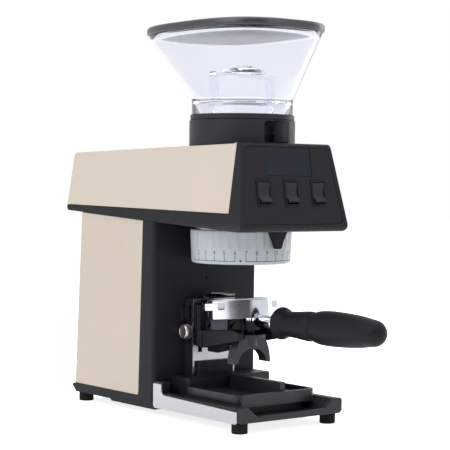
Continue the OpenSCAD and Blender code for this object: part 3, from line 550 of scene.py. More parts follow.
SCREEN = DarkGlass("screen_glass", (26, 31, 38), roughness=0.25, coat=0.0, specular=0.15)
INK = Print("scale_ink", (52, 54, 58))
SIGN_INK = Print("sign_ink", (12, 12, 14))
BOARD = Lacquer("board_green", (26, 96, 52))
PAPER = StudioPaper("studio_floor", (250, 250, 250))


# ---------------------------------------------------------------- mesh making


def new_piece(name: str, mesh: bpy.types.Mesh, finish: Finish) -> bpy.types.Object:
    """Puts a mesh in the scene as a piece with a finish.

    Args:
        name: Name of the piece.
        mesh: Its mesh, in the row frame.
        finish: Its finish.

    Returns:
        The new object.
    """
    piece = bpy.data.objects.new(name, mesh)
    bpy.context.scene.collection.objects.link(piece)
    mesh.materials.clear()
    mesh.materials.append(finish.material())
    return piece


def from_bmesh(name: str, build: Callable[[bmesh.types.BMesh], None], smooth: float = 35.0) -> bpy.types.Mesh:
    """Makes a mesh with a builder function.

    Args:
        name: Name of the mesh.
        build: Function that fills an empty bmesh.
        smooth: Edges sharper than this many degrees stay sharp.

    Returns:
        The finished mesh.
    """
    bm = bmesh.new()
    build(bm)
    bmesh.ops.recalc_face_normals(bm, faces=bm.faces)
    mesh = bpy.data.meshes.new(name)
    bm.to_mesh(mesh)
    bm.free()
    mesh.shade_smooth()
    mesh.set_sharp_from_angle(angle=math.radians(smooth))
    return mesh


def skin_rings(bm: bmesh.types.BMesh, rings: Rings, closed: bool = False) -> list[list[bmesh.types.BMVert]]:
    """Joins rings of points with quads.

    Args:
        bm: The bmesh to add to.
        rings: Rings with the same number of points each.
        closed: Whether the last ring joins the first.

    Returns:
        The vertices, ring by ring.
    """
    made = [[bm.verts.new(p) for p in ring] for ring in rings]
    count = len(made[0])
    pairs = list(zip(made, made[1:])) + ([(made[-1], made[0])] if closed else [])
    for lower, upper in pairs:
        for i in range(count):
            j = (i + 1) % count
            bm.faces.new((lower[i], lower[j], upper[j], upper[i]))
    return made


def turn_steps(count: int) -> list[float]:
    """Evenly spaced angles of one full turn, from 0."""
    return [2 * math.pi * i / count for i in range(count)]


def soft_profile(points: Sequence[Point], radius: float, steps: int = 4) -> list[Point]:
    """Rounds the corners of an open profile.

    Args:
        points: Corner points of the profile.
        radius: Largest rounding radius, cut down on short runs.
        steps: Points on each rounded corner.

    Returns:
        The profile with rounded corners.
    """
    share = 0.45
    out: list[Point] = [points[0]]
    for before, here, after in zip(points, points[1:], points[2:]):
        a, b, c = Vector(before), Vector(here), Vector(after)
        reach = min(radius, (a - b).length * share, (c - b).length * share)
        start = b + (a - b).normalized() * reach
        stop = b + (c - b).normalized() * reach
        for i in range(steps + 1):
            t = i / steps
            p = start.lerp(b, t).lerp(b.lerp(stop, t), t)
            out.append((p.x, p.y))
    out.append(points[-1])
    return out


def turned_rings(
    levels: Sequence[Point],
    steps: int,
    place: Matrix,
    cut: Callable[[float, float, float], float] | None = None,
) -> list[list[Vector]]:
    """Rings of points round a turning axis.

    Args:
        levels: Radius and height of each ring.
        steps: Points on each ring.
        place: Where the turning axis (local Z) stands.
        cut: Depth of the grooves in the surface, from radius, height and angle.

    Returns:
        One ring of points for each level.
    """
    rings = []
    for radius, height in levels:
        ring = []
        for t in turn_steps(steps):
            r = max(radius, ON_AXIS) - (cut(radius, height, t) if cut else 0.0)
            ring.append(place @ Vector((r * math.cos(t), r * math.sin(t), height)))
        rings.append(ring)
    return rings


def welded_skin(name: str, rings: Rings, smooth: float, weld: float = WELD) -> bpy.types.Mesh:
    """Skins rings of points and joins the points that fall together.

    Args:
        name: Name of the mesh.
        rings: Rings with the same number of points each.
        smooth: Edges sharper than this many degrees stay sharp.
        weld: Points nearer to each other than this become one.

    Returns:
        The finished mesh.
    """

    def build(bm: bmesh.types.BMesh) -> None:
        """Skins the rings and joins the points that fall together."""
        skin_rings(bm, rings)
        bmesh.ops.remove_doubles(bm, verts=bm.verts, dist=weld)

    return from_bmesh(name, build, smooth)


def turned(
    name: str, profile: Sequence[Point], place: Matrix, segments: int, radius: float
) -> bpy.types.Mesh:
    """Turns a profile about an axis, with softened corners.

    Args:
        name: Name of the mesh.
        profile: Radius and height of each corner, in metres. Ends on the axis have radius 0.
        place: Where the turning axis (local Z) stands.
        segments: Steps round the axis.
        radius: Rounding radius of the corners.

    Returns:
        The turned mesh.
    """
    return welded_skin(name, turned_rings(soft_profile(profile, radius), segments, place), smooth=50.0)


def round_edges(piece: bpy.types.Object, width: float, segments: int) -> None:
    """Rounds a piece's edges, so that they catch the light as real ones do.

    Args:
        piece: The piece.
        width: Width of the rounding, in metres.
        segments: Faces across the rounding.
    """
    bevel = piece.modifiers.new("rounded edges", "BEVEL")
    bevel.width = width
    bevel.segments = segments
    bevel.limit_method = "ANGLE"
    bevel.angle_limit = math.radians(SHARP_ANGLE)
    bevel.use_clamp_overlap = True
    bevel.harden_normals = True


def soften(node: str, finish: Finish, width: float, segments: int = 2) -> bpy.types.Object:
    """Replaces a solid by its own shape with rounded edges.

    Args:
        node: The solid's node.
        finish: Its finish.
        width: Width of the edge rounding.
        segments: Faces across the rounding.

    Returns:
        The new piece, riding on the node's body.
    """
    mesh = FRAME["nodes"][node].data.copy()
    bm = bmesh.new()
    bm.from_mesh(mesh)
    bmesh.ops.remove_doubles(bm, verts=bm.verts, dist=FINE_WELD)
    bmesh.ops.dissolve_limit(bm, angle_limit=math.radians(FLAT_ANGLE), verts=bm.verts, edges=bm.edges)
    bm.to_mesh(mesh)
    bm.free()
    for name in [a.name for a in mesh.attributes if a.name in {"custom_normal", "sharp_edge"}]:
        mesh.attributes.remove(mesh.attributes[name])
    mesh.shade_smooth()
    mesh.set_sharp_from_angle(angle=math.radians(SHARP_ANGLE))
    piece = new_piece(node + "_shown", mesh, finish)
    round_edges(piece, width, segments)
    return stand_in(piece, node)


def stand_in(piece: bpy.types.Object, *nodes: str) -> bpy.types.Object:
    """Lets a piece stand for one or more solids of one body.

    Args:
        piece: The piece.
        *nodes: The solids it replaces. The first one gives its body.

    Returns:
        The same piece.
    """
    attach(piece, BODY_OF[nodes[0]])
    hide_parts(*nodes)
    return piece


def ride_with(piece: bpy.types.Object, node: str) -> bpy.types.Object:
    """Lets an added piece move with the body of a solid.

    Args:
        piece: The added piece.
        node: The solid whose body it rides on.

    Returns:
        The same piece.
    """
    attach(piece, BODY_OF[node])
    return piece


def dress(node: str, finish: Finish) -> bpy.types.Object:
    """Gives a solid that is shown as it is its finish.

    Args:
        node: The solid's node.
        finish: Its finish.

    Returns:
        The solid.
    """
    solid = FRAME["nodes"][node]
    for place in solid.material_slots:
        place.material = finish.material()
    solid.data.shade_smooth()
    solid.data.set_sharp_from_angle(angle=math.radians(SHARP_ANGLE))
    return solid


def shade_part(piece: bpy.types.Object, finish: Finish, chosen: Callable[[Vector], bool]) -> None:
    """Gives some of a piece's faces a second finish.

    Args:
        piece: The piece.
        finish: The second finish.
        chosen: Tells from a face's centre whether it has the second finish.
    """
    mesh = piece.data
    mesh.materials.append(finish.material())
    for face in mesh.polygons:
        if chosen(face.center):
            face.material_index = 1


def lettering(name: str, text: str, height: float) -> bpy.types.Mesh:
    """Makes flat lettering in the XY plane, centred on the origin.

    Args:
        name: Name of the mesh.
        text: A number.
        height: Height of a digit, in metres.

    Returns:
        The mesh of the lettering.
    """
    curve = bpy.data.curves.new(name, "FONT")
    curve.body = text
    curve.align_x = "CENTER"
    curve.size = height * SIZE_PER_DIGIT
    curve.resolution_u = LETTER_STEPS
    holder = bpy.data.objects.new(name, curve)
    bpy.context.scene.collection.objects.link(holder)
    bpy.context.view_layer.update()
    mesh = bpy.data.meshes.new_from_object(holder.evaluated_get(bpy.context.evaluated_depsgraph_get()))
    bpy.data.objects.remove(holder)
    return mesh


# ---------------------------------------------------------------- sub-assemblies


@dataclass(frozen=True)
class Rounded:
    """A solid that is shown with rounded edges: its finish, edge width and faces across the edge."""

    node: str
    finish: Finish
    width: float
    segments: int = 2


@dataclass
class SubAssembly:
    """A group of pieces that is built and dressed together."""

    rounded: ClassVar[tuple[Rounded, ...]] = ()
    plain: ClassVar[dict[str, Finish]] = {}
    pieces: list[bpy.types.Object] = field(default_factory=list)

    def keep(self, *pieces: bpy.types.Object) -> None:
        """Notes pieces as part of this sub-assembly."""
        self.pieces.extend(pieces)

    def build(self) -> None:
        """Makes the pieces. By default these are the solids with rounded edges."""
        for part in self.rounded:
            self.keep(soften(part.node, part.finish, part.width, part.segments))

    def dress(self) -> None:
        """Gives finishes to the solids that stay as they are."""
        for node, finish in self.plain.items():
            self.keep(dress(node, finish))

    def make(self) -> None:
        """Builds, dresses and reports every piece."""
        self.build()
        self.dress()
        for piece in self.pieces:
            LOG.info("%s: %s", type(self).__name__, piece.name)


class Base(SubAssembly):
    """Base frame, front bar, bright side bars, riser, feet and their screws."""

    rounded = (
        Rounded("base_frame", BASE_BLACK, 0.8 * MM),
        Rounded("front_bar", BASE_BLACK, 0.8 * MM, 3),
        Rounded("base_riser", BASE_BLACK, 0.8 * MM),
        Rounded("side_bar_left", BAR_BRUSHED, 0.5 * MM),
        Rounded("side_bar_right", BAR_BRUSHED, 0.5 * MM),
        Rounded("feet", RUBBER_BLACK, 0.9 * MM, 3),
    )
    plain = {"foot_screws": STEEL_BRUSHED}


class DripTray(SubAssembly):
    """The removable tray with its dividing wall."""

    rounded = (Rounded("drip_tray", TRAY_BLACK, 0.9 * MM, 3),)


class Holder(SubAssembly):
    """Bracket channel, slotted plate, foot and rim clip."""

    rounded = (
        Rounded("bracket_shell", SATIN_BLACK, 0.9 * MM, 3),
        Rounded("bracket_plate", PLATE_BRIGHT, 0.25 * MM),
        Rounded("bracket_foot", SATIN_BLACK, 0.5 * MM),
        Rounded("rim_clip", CLIP_STEEL, 0.4 * MM),
    )


@dataclass
class Fork(SubAssembly):
    """Height-adjustable carriage with its arms, pads and clamp knob."""

    rounded = (
        Rounded("fork_carriage", SATIN_BLACK, 0.8 * MM),
        Rounded("fork_arms", SATIN_BLACK, 1.1 * MM, 3),
    )
    pad_skin: float = 0.2 * MM
    knob_length: float = 8.5 * MM
    stud_radius: float = 1.5 * MM
    stud_length: float = 9.8 * MM
    ridges: int = 36
    ridge_steps: int = 4
    ridge_depth: float = 0.35 * MM

    def build(self) -> None:
        """Rounds the fork and turns the knurled knob."""
        super().build()
        self.keep(self.pads())
        self.keep(self.knob())

    def pads(self) -> bpy.types.Object:
        """The lining of the fork, with its proud middle in a paler grey.

        Returns:
            The finished piece.
        """
        piece = soften("fork_pads", RUBBER_BLACK, 0.7 * MM)
        outer = max(abs(v.co.x) for v in piece.data.vertices) - self.pad_skin
        shade_part(piece, PAD_GREY, lambda centre: abs(centre.x) > outer)
        return piece

    def knob(self) -> bpy.types.Object:
        """The clamp knob with a knurled rim, a dished face and its stud.

        Returns:
            The finished piece.
        """
        low, high = box("clamp_knob")
        radius = (high.z - low.z) / 2
        length = self.knob_length
        inner = Vector((low.x + length, (low.y + high.y) / 2, (low.z + high.z) / 2))
        place = Matrix.Translation(inner) @ Matrix.Rotation(-math.pi / 2, 4, "Y")
        profile = [
            (0.0, -self.stud_length),
            (self.stud_radius, -self.stud_length),
            (self.stud_radius, 0.0),
            (radius * 0.86, 0.0),
            (radius * 0.9, 1.2 * MM),
            (radius, 1.6 * MM),
            (radius, length - 2.0 * MM),
            (radius * 0.86, length - 0.3 * MM),
            (radius * 0.7, length),
            (radius * 0.58, length - 0.5 * MM),
            (0.0, length - 0.9 * MM),
        ]
        knurled = radius * 0.94

        def knurl(r: float, _: float, t: float) -> float:
            """Depth of the knurled ridges on the rim of the knob."""
            depth = self.ridge_depth if r > knurled else 0.0
            return depth * (0.5 - 0.5 * math.cos(t * self.ridges))

        soft = soft_profile(profile, 0.35 * MM, steps=3)
        rings = turned_rings(soft, self.ridges * self.ridge_steps, place, knurl)
        piece = new_piece("clamp_knob_shown", welded_skin("clamp_knob_shown", rings, smooth=45.0), KNOB_STEEL)
        return stand_in(piece, "clamp_knob")


@dataclass
class Portafilter(SubAssembly):
    """Chromed body with its basket, twin spout and handle."""

    tilt: float = math.radians(5)
    turn: float = math.radians(3)
    # Below this height, and behind a line this far in front of the burr axis, the body is painted near-black
    # as painted shade
    painted_shade_top: float = 96.5 * MM
    painted_shade_front: float = 26.5 * MM
    basket_floor: float = -15.4 * MM
    basket_wall: float = 28.0 * MM
    handle_start: float = 56.8 * MM
    handle_end: float = 187.5 * MM
    handle_shape: tuple[Point, ...] = (
        (0.0, 0.0), (0.80, 0.0), (0.90, 0.3), (0.955, 1.5), (0.955, 3.2), (0.90, 5.4), (0.80, 8.2),
        (0.745, 12.0), (0.755, 18.0), (0.79, 26.0), (0.835, 33.0), (0.865, 39.0), (0.86, 42.0), (0.80, 44.6),
        (0.785, 45.6), (0.80, 46.8), (0.87, 49.0), (0.935, 52.5), (0.975, 57.5), (0.995, 63.0), (1.0, 69.0),
        (0.99, 78.0), (0.965, 88.0), (0.92, 98.0), (0.865, 107.0), (0.78, 115.0),
    )

    def build(self) -> None:
        """Makes the four pieces of the portafilter."""
        self.keep(self.body())
        self.keep(self.basket())
        self.keep(soften("portafilter_spout", SPOUT_BLACK, 0.7 * MM))
        self.keep(self.handle())

    def body(self) -> bpy.types.Object:
        """The chromed body, with its outlet under the floor painted near-black as painted shade.

        Returns:
            The finished piece.
        """
        piece = soften("portafilter_body", CHROME, 0.6 * MM)
        # Faces below the floor and behind this line are painted near-black as painted shade
        front = AXIS_Y - self.painted_shade_front
        shade_part(piece, BLACKENED_AND_SHADE, lambda centre: centre.z < self.painted_shade_top and centre.y > front)
        return piece

    def tilted(self) -> Matrix:
        """The frame of the tilted body, at the top face of its rim.

        Returns:
            The place of the frame, with local Z along the tilted axis.
        """
        low, high = box("portafilter_basket")
        top = high.z - (high.y - low.y) / 2 * math.tan(self.tilt)
        return Matrix.Translation((0, (low.y + high.y) / 2, top)) @ Matrix.Rotation(-self.tilt, 4, "X")

    def basket(self) -> bpy.types.Object:
        """The steel basket with its rolled rim and a bead in its wall.

        Returns:
            The finished piece.
        """
        low, high = box("portafilter_basket")
        rim = (high.x - low.x) / 2
        floor = self.basket_floor
        wall = self.basket_wall
        outside = wall + 0.8 * MM
        underside = floor - 0.8 * MM
        profile = [
            (0.0, floor),
            (wall - 2.5 * MM, floor),
            (wall, floor + 2.5 * MM),
            (wall, -7 * MM),
            (wall - 0.45 * MM, -6 * MM),
            (wall, -5 * MM),
            (wall, -0.6 * MM),
            (wall + 0.9 * MM, 0.0),
            (rim - 0.5 * MM, -0.05 * MM),
            (rim, -0.6 * MM),
            (rim, -1.7 * MM),
            (outside, -1.7 * MM),
            (outside, floor),
            (wall - 2 * MM, underside),
            (0.0, underside),
        ]
        mesh = turned("basket_shown", profile, self.tilted(), segments=128, radius=0.5 * MM)
        return stand_in(new_piece("basket_shown", mesh, STEEL_BRUSHED), "portafilter_basket")

    def handle(self) -> bpy.types.Object:
        """The waisted handle with its collar, crease and round end.

        Returns:
            The finished piece.
        """
        low, high = box("portafilter_handle")
        radius = (high.z - low.z) / 2
        end = self.handle_end - self.handle_start
        cap = radius * 0.75
        profile = [(r * radius, h * MM) for r, h in self.handle_shape]
        for degrees in range(8, 91, 6):
            a = math.radians(degrees)
            profile.append((cap * math.cos(a), end - cap + cap * math.sin(a)))
        profile[-1] = (0.0, end)
        place = (
            Matrix.Translation((0, AXIS_Y, (high.z + low.z) / 2))
            @ Matrix.Rotation(self.turn, 4, "Z")
            @ Matrix.Rotation(math.pi / 2, 4, "X")
            @ Matrix.Translation((0, 0, self.handle_start))
        )
        mesh = turned("handle_shown", profile, place, segments=96, radius=1.6 * MM)
        return stand_in(new_piece("handle_shown", mesh, GRIP_BLACK), "portafilter_handle")


class Column(SubAssembly):
    """Column shell, side panels, screw, rear cover and mains inlet."""

    rounded = (
        Rounded("column_shell", COLUMN_BLACK, 1.2 * MM, 3),
        Rounded("column_panel_left", BEIGE_PANEL, 0.5 * MM, 3),
        Rounded("column_panel_right", BEIGE_PANEL, 0.5 * MM, 3),
        Rounded("rear_cover", SATIN_BLACK, 0.4 * MM),
        Rounded("power_inlet", GRIP_BLACK, 0.4 * MM),
    )
    plain = {"column_screw": BLACKENED_AND_SHADE}


class Head(SubAssembly):
    """Black chassis and beige hood."""

    rounded = (
        Rounded("head_chassis", SATIN_BLACK, 1.4 * MM, 3),
        Rounded("head_cover", BEIGE_HOOD, 1.4 * MM, 4),
    )


class ControlPanel(SubAssembly):
    """Front panel with the display and three paddle switches."""

    rounded = (
        Rounded("front_panel", SATIN_BLACK, 0.6 * MM, 3),
        Rounded("display_window", SCREEN, 0.3 * MM),
        Rounded("switch_frames", GRIP_BLACK, 0.3 * MM),
        *(Rounded("switch_" + side, SWITCH_BLACK, 0.7 * MM, 3) for side in ("left", "centre", "right")),
    )
    plain = {"display_board": BOARD}


@dataclass
class GrindDial(SubAssembly):
    """Fluted dial with its printed scale, and the fixed pointer above it."""

    bore: float = 43.96 * MM
    bore_margin: float = 1.0 * MM
    scale_inset: float = 1.4 * MM
    taper_from: float = 4.0 * MM
    taper_to: float = 1.0 * MM
    taper_steps: int = 14
    flutes: int = 36
    flute_steps: int = 8
    flute_depth: float = 0.9 * MM
    flute_crest: float = 0.6
    flute_stop: float = 0.48
    flute_fade: float = 3.5 * MM
    line_z: float = 3.3 * MM
    line_width: float = 0.55 * MM
    tick_height: float = 5.2 * MM
    digit_gap: float = 0.7 * MM
    digit_height: float = 4.1 * MM
    pitch: float = math.radians(12.4)
    numbers: int = 13
    middle_number: int = 7
    middle_at: float = math.radians(-123.0)
    dot_radius: float = 1.1 * MM
    dot_rise: float = 0.4 * MM
    dot_steps: int = 16
    strip_step: float = 2.0 * MM
    lift: float = 0.04 * MM

    def radii(self) -> tuple[float, float, float, float]:
        """Top radius, scale radius, lowest and highest level of the dial.

        Returns:
            The two radii and the two levels.
        """
        low, high = box("adjustment_dial")
        top = (high.x - low.x) / 2
        return top, top - self.scale_inset, low.z, high.z

    def radius_at(self, z: float) -> float:
        """Outer radius of the smooth dial at a height.

        Args:
            z: The height.

        Returns:
            The radius.
        """
        top, scale, low, high = self.radii()
        share = (z - low - self.taper_from) / (high - low - self.taper_from - self.taper_to)
        return scale + (top - scale) * max(0.0, min(1.0, share))

    def build(self) -> None:
        """Makes the dial, its scale and its pointer."""
        self.keep(self.drum())
        self.keep(self.scale())
        self.keep(soften("dial_pointer", GRIP_BLACK, 0.6 * MM, 3))

    def drum(self) -> bpy.types.Object:
        """The drum with scalloped grip flutes that run out above the scale.

        Returns:
            The finished piece.
        """
        top, scale, low, high = self.radii()
        levels = [
            (self.bore, low + 0.4 * MM),
            (scale - 2.4 * MM, low),
            (scale - 1.2 * MM, low + 0.4 * MM),
            (scale - 0.4 * MM, low + 1.5 * MM),
            (scale - 0.1 * MM, low + 2.6 * MM),
            (scale, low + self.taper_from),
        ]
        for i in range(1, self.taper_steps + 1):
            rise = (high - low - self.taper_from - self.taper_to) * i / self.taper_steps
            z = low + self.taper_from + rise
            levels.append((self.radius_at(z), z))
        levels += [
            (top - 0.25 * MM, high - 0.25 * MM),
            (top - 0.8 * MM, high),
            (self.bore, high),
            (self.bore, low + 0.4 * MM),
        ]
        start = low + (high - low) * self.flute_stop

        def flute(r: float, z: float, t: float) -> float:
            """Depth of the flutes, which fade out above the scale.

            Args:
                r: Radius of the ring.
                z: Its height.
                t: Angle about the axis.

            Returns:
                The depth.
            """
            fade = max(0.0, min(1.0, (z - start) / self.flute_fade))
            fade = fade * fade * (3 - 2 * fade)
            depth = self.flute_depth * fade if r > self.bore + self.bore_margin else 0.0
            wave = (0.5 - 0.5 * math.cos(t * self.flutes)) ** self.flute_crest
            return depth * (1 - wave)

        place = Matrix.Translation((0, AXIS_Y, 0))
        rings = turned_rings(levels, self.flutes * self.flute_steps, place, flute)
        mesh = welded_skin("dial_shown", rings, smooth=60.0, weld=FINE_WELD)
        return stand_in(new_piece("dial_shown", mesh, DIAL_GREY), "adjustment_dial")

    def wrap(self, angle: float, across: float, z: float) -> Vector:
        """A point on the dial's surface.

        Args:
            angle: Direction about the axis.
            across: Distance to the right of that direction, along the surface.
            z: Height.

        Returns:
            The point, a hair outside the surface.
        """
        r = self.radius_at(z) + self.lift
        t = angle + across / r
        return Vector((r * math.cos(t), AXIS_Y + r * math.sin(t), z))

    def strip(self, bm: bmesh.types.BMesh, angle: float, across: Point, heights: Point) -> None:
        """Adds a printed rectangle that follows the dial's surface.

        Args:
            bm: The bmesh to add to.
            angle: Direction about the axis.
            across: Where the rectangle starts and ends, to the right of that direction.
            heights: Its lower and upper level.
        """
        start, end = across
        count = max(1, round(abs(end - start) / self.strip_step))
        rows = []
        for z in heights:
            places = [start + (end - start) * i / count for i in range(count + 1)]
            rows.append([bm.verts.new(self.wrap(angle, x, z)) for x in places])
        lower, upper = rows
        for i in range(count):
            bm.faces.new((lower[i], lower[i + 1], upper[i + 1], upper[i]))

    def number(self, bm: bmesh.types.BMesh, n: int, angle: float, base: float) -> None:
        """Adds a printed number that stands on a level of the dial's surface.

        Args:
            bm: The bmesh to add to.
            n: The number.
            angle: Direction about the axis.
            base: Level of the foot of the digits.
        """
        letters = lettering(f"number_{n}", str(n), self.digit_height)
        verts = [bm.verts.new(self.wrap(angle, v.co.x, base + v.co.y)) for v in letters.vertices]
        for face in letters.polygons:
            bm.faces.new([verts[i] for i in face.vertices])
        bpy.data.meshes.remove(letters)

    def dot(self, bm: bmesh.types.BMesh, angle: float, level: float) -> None:
        """Adds a printed dot, in the gap of the scale's line.

        Args:
            bm: The bmesh to add to.
            angle: Direction about the axis.
            level: Level of its centre.
        """
        r = self.dot_radius
        rim = [self.wrap(angle, r * math.cos(t), level + r * math.sin(t)) for t in turn_steps(self.dot_steps)]
        bm.faces.new([bm.verts.new(point) for point in rim])

    def scale(self) -> bpy.types.Object:
        """The printed line, ticks and numbers.

        Returns:
            The finished piece.
        """
        _, scale, low, _ = self.radii()
        line = low + self.line_z
        bm = bmesh.new()
        half = self.line_width / 2
        for n in range(1, self.numbers + 1):
            angle = self.middle_at + (n - self.middle_number) * self.pitch
            self.strip(bm, angle, (-half, half), (line, line + self.tick_height))
            if n < self.numbers and n != self.middle_number - 1:
                self.strip(bm, angle, (0.0, self.pitch * scale), (line - half, line + half))
            self.number(bm, n, angle, line + self.tick_height + self.digit_gap)
        self.dot(bm, self.middle_at - self.pitch / 2, line + self.dot_rise)
        mesh = bpy.data.meshes.new("dial_scale")
        bm.to_mesh(mesh)
        bm.free()
        return ride_with(new_piece("dial_scale", mesh, INK), "adjustment_dial")


class GrindingWorks(SubAssembly):
    """Burr chamber, burrs, carrier, shaft, bearings, chute and feed tube."""

    plain = {
        "burr_chamber": ALLOY_TURNED,
        "burr_carrier": ALLOY_TURNED,
        "ring_burr": STEEL_BRUSHED,
        "cone_burr": STEEL_BRUSHED,
        "burr_shaft": STEEL_BRUSHED,
        "shaft_bearings": CHROME,
        "bearing_spider": ALLOY_TURNED,
        "grounds_chute": GRIP_BLACK,
        "feed_tube": GRIP_BLACK,
    }


class Drive(SubAssembly):
    """Motor, pulleys, belt, mount and power board."""

    plain = {
        "motor_housing": STEEL_BRUSHED,
        "motor_rotor": STEEL_BRUSHED,
        "motor_pulley": ALLOY_TURNED,
        "motor_mount": STEEL_BRUSHED,
        "motor_bolts": STEEL_BRUSHED,
        "drive_pulley": ALLOY_TURNED,
        "drive_belt": RUBBER_BLACK,
        "power_board": BOARD,
    }


@dataclass
class BeanCollar(SubAssembly):
    """Black collar with the bean gate's lever and its printed signs."""

    rounded = (
        Rounded("bean_collar", COLLAR_BLACK, 0.6 * MM, 3),
        Rounded("bean_gate", COLLAR_BLACK, 0.8 * MM, 3),
    )
    sign_turn: float = math.radians(-114.0)
    sign_radius: float = 2.0 * MM
    sign_drop: float = 9.0 * MM
    sign_spacing: float = 4.9 * MM
    sign_steps: int = 20
    lift: float = 0.04 * MM

    def build(self) -> None:
        """Rounds collar and gate and prints the signs."""
        super().build()
        self.keep(self.signs())

    def signs(self) -> bpy.types.Object:
        """An open and a closed ring, printed beside the slot.

        Returns:
            The finished piece.
        """
        low, high = box("bean_collar")
        radius = (high.x - low.x) / 2 + self.lift
        level = high.z - self.sign_drop
        bm = bmesh.new()

        def ring(height: float, inner: float, outer: float) -> None:
            """Adds a flat ring that follows the collar.

            Args:
                height: Level of its centre.
                inner: Inner radius.
                outer: Outer radius.
            """
            loops = []
            for r in (inner, outer):
                loop = []
                for t in turn_steps(self.sign_steps):
                    a = self.sign_turn + r * math.cos(t) / radius
                    z = height + r * math.sin(t)
                    loop.append(Vector((radius * math.cos(a), AXIS_Y + radius * math.sin(a), z)))
                loops.append(loop)
            skin_rings(bm, loops)

        ring(level, self.sign_radius * 0.62, self.sign_radius)
        ring(level - self.sign_spacing, 0.05 * MM, self.sign_radius * 0.7)
        mesh = bpy.data.meshes.new("gate_signs")
        bm.to_mesh(mesh)
        bm.free()
        return ride_with(new_piece("gate_signs", mesh, SIGN_INK), "bean_collar")


@dataclass
class Hopper(SubAssembly):
    """Clear hopper, its ring, the finger guard and the lid."""

    power: float = 2.94
    wall: float = 2.2 * MM
    rim_inset: float = 1.5 * MM
    neck: float = 48.6 * MM
    neck_height: float = 14.7 * MM
    ledge_rise: float = 12.4 * MM
    ledge_thick: float = 2.4 * MM
    ledge_bore: float = 30.0 * MM
    chamfer: float = 0.3 * MM
    lid_thick: float = 7.6 * MM
    steps: int = 144

    def rim(self) -> tuple[float, float, float]:
        """Half width, half depth and centre of the lid.

        Returns:
            The three sizes.
        """
        low, high = box("hopper_lid")
        return (high.x - low.x) / 2, (high.y - low.y) / 2, (high.y + low.y) / 2

    def outline(self, inset: float, z: float) -> list[Vector]:
        """Rim outline at a height, drawn in by inset.

        Args:
            inset: Distance that the outline is drawn in.
            z: The height.

        Returns:
            The points of the outline.
        """
        half_w, half_d, centre = self.rim()
        ring = []
        for t in turn_steps(self.steps):
            c, s = math.cos(t), math.sin(t)
            x = (half_w - inset) * math.copysign(abs(c) ** (2 / self.power), c)
            y = (half_d - inset) * math.copysign(abs(s) ** (2 / self.power), s)
            ring.append(Vector((x, centre + y, z)))
        return ring

    def circle(self, radius: float, z: float) -> list[Vector]:
        """A circle about the burr axis, with points that match the rim outline's.

        Args:
            radius: Radius of the circle.
            z: The height.

        Returns:
            The points of the circle.
        """
        half_w, half_d, centre = self.rim()
        ring = []
        for point in self.outline(0.0, z):
            t = math.atan2((point.y - centre) / half_d, point.x / half_w)
            ring.append(Vector((radius * math.cos(t), AXIS_Y + radius * math.sin(t), z)))
        return ring

    def build(self) -> None:
        """Makes the hopper's pieces."""
        self.keep(self.shell())
        self.keep(self.lid())
        self.keep(soften("hopper_ring", COLLAR_BLACK, 0.5 * MM, 3))
        self.keep(soften("finger_guard", CLEAR, 0.7 * MM, 3))

    def shell(self) -> bpy.types.Object:
        """The flared clear wall with its straight neck and inner ledge.

        Returns:
            The finished piece.
        """
        low, high = box("hopper")
        top = high.z
        flare = low.z + self.neck_height
        ledge = low.z + self.ledge_rise
        under = ledge - self.ledge_thick
        inside = self.neck - self.wall
        bore = self.ledge_bore
        chamfer = self.chamfer
        shares = (0.015, 0.04, 0.3, 0.6, 0.9, 0.99)

        def between(inset: float, radius: float, share: float, z: float) -> list[Vector]:
            """A ring part of the way from a circle of the neck to the outline of the rim."""
            lower, upper = self.circle(radius, z), self.outline(self.rim_inset + inset, z)
            return [a.lerp(b, share) for a, b in zip(lower, upper)]

        def flared(inset: float, radius: float) -> list[list[Vector]]:
            """The rings of the flared wall, from the neck up."""
            return [between(inset, radius, s, flare + (top - flare) * s) for s in shares]

        foot = ((self.neck - chamfer, low.z), (self.neck, low.z + 0.4 * MM), (self.neck, flare - 1.5 * MM))
        step = (
            (inside, ledge + 2 * chamfer),
            (inside - 2 * chamfer, ledge),
            (bore + chamfer, ledge),
            (bore, ledge - chamfer),
            (bore, under + chamfer),
            (bore + chamfer, under),
            (inside, under),
            (inside, low.z),
        )
        rings = [self.circle(r, z) for r, z in foot]
        rings += flared(0.0, self.neck)
        rings.append(between(chamfer, self.neck, 1.0, top))
        rings.append(between(self.wall - chamfer, inside, 1.0, top))
        rings += reversed(flared(self.wall, inside))
        rings += [self.circle(r, z) for r, z in step]
        mesh = from_bmesh("hopper_shown", lambda bm: skin_rings(bm, rings, closed=True), 40.0)
        return stand_in(new_piece("hopper_shown", mesh, CLEAR), "hopper")

    def lid(self) -> bpy.types.Object:
        """The smoked lid with rounded rim and a shallow panel in its top.

        Returns:
            The finished piece.
        """
        low, high = box("hopper_lid")
        base = high.z - self.lid_thick
        levels = [
            (6.9 * MM, low.z),
            (6.7 * MM, low.z + 0.2 * MM),
            (4.6 * MM, base - 0.5 * MM),
            (4.6 * MM, base),
            (0.8 * MM, base),
            (0.2 * MM, base + 0.3 * MM),
            (0.0, base + 1.0 * MM),
            (0.0, base + 4.6 * MM),
            (0.3 * MM, base + 5.8 * MM),
            (1.2 * MM, base + 6.9 * MM),
            (2.6 * MM, high.z - 0.15 * MM),
            (4.5 * MM, high.z),
            (7.5 * MM, high.z),
            (8.2 * MM, high.z - 0.5 * MM),
        ]

        def build(bm: bmesh.types.BMesh) -> None:
            """Skins the levels and closes both ends.

            Args:
                bm: The bmesh to add to.
            """
            made = skin_rings(bm, [self.outline(inset, z) for inset, z in levels])
            bm.faces.new(made[0][::-1])
            bm.faces.new(made[-1])

        return stand_in(new_piece("lid_shown", from_bmesh("lid_shown", build, 50.0), SMOKE), "hopper_lid")


# ---------------------------------------------------------------- studio


@dataclass(frozen=True)
class Softbox:
    """A rectangular lamp: its centre, its width and height in metres, its power in watts."""

    name: str
    place: tuple[float, float, float]
    size: tuple[float, float]
    power: float


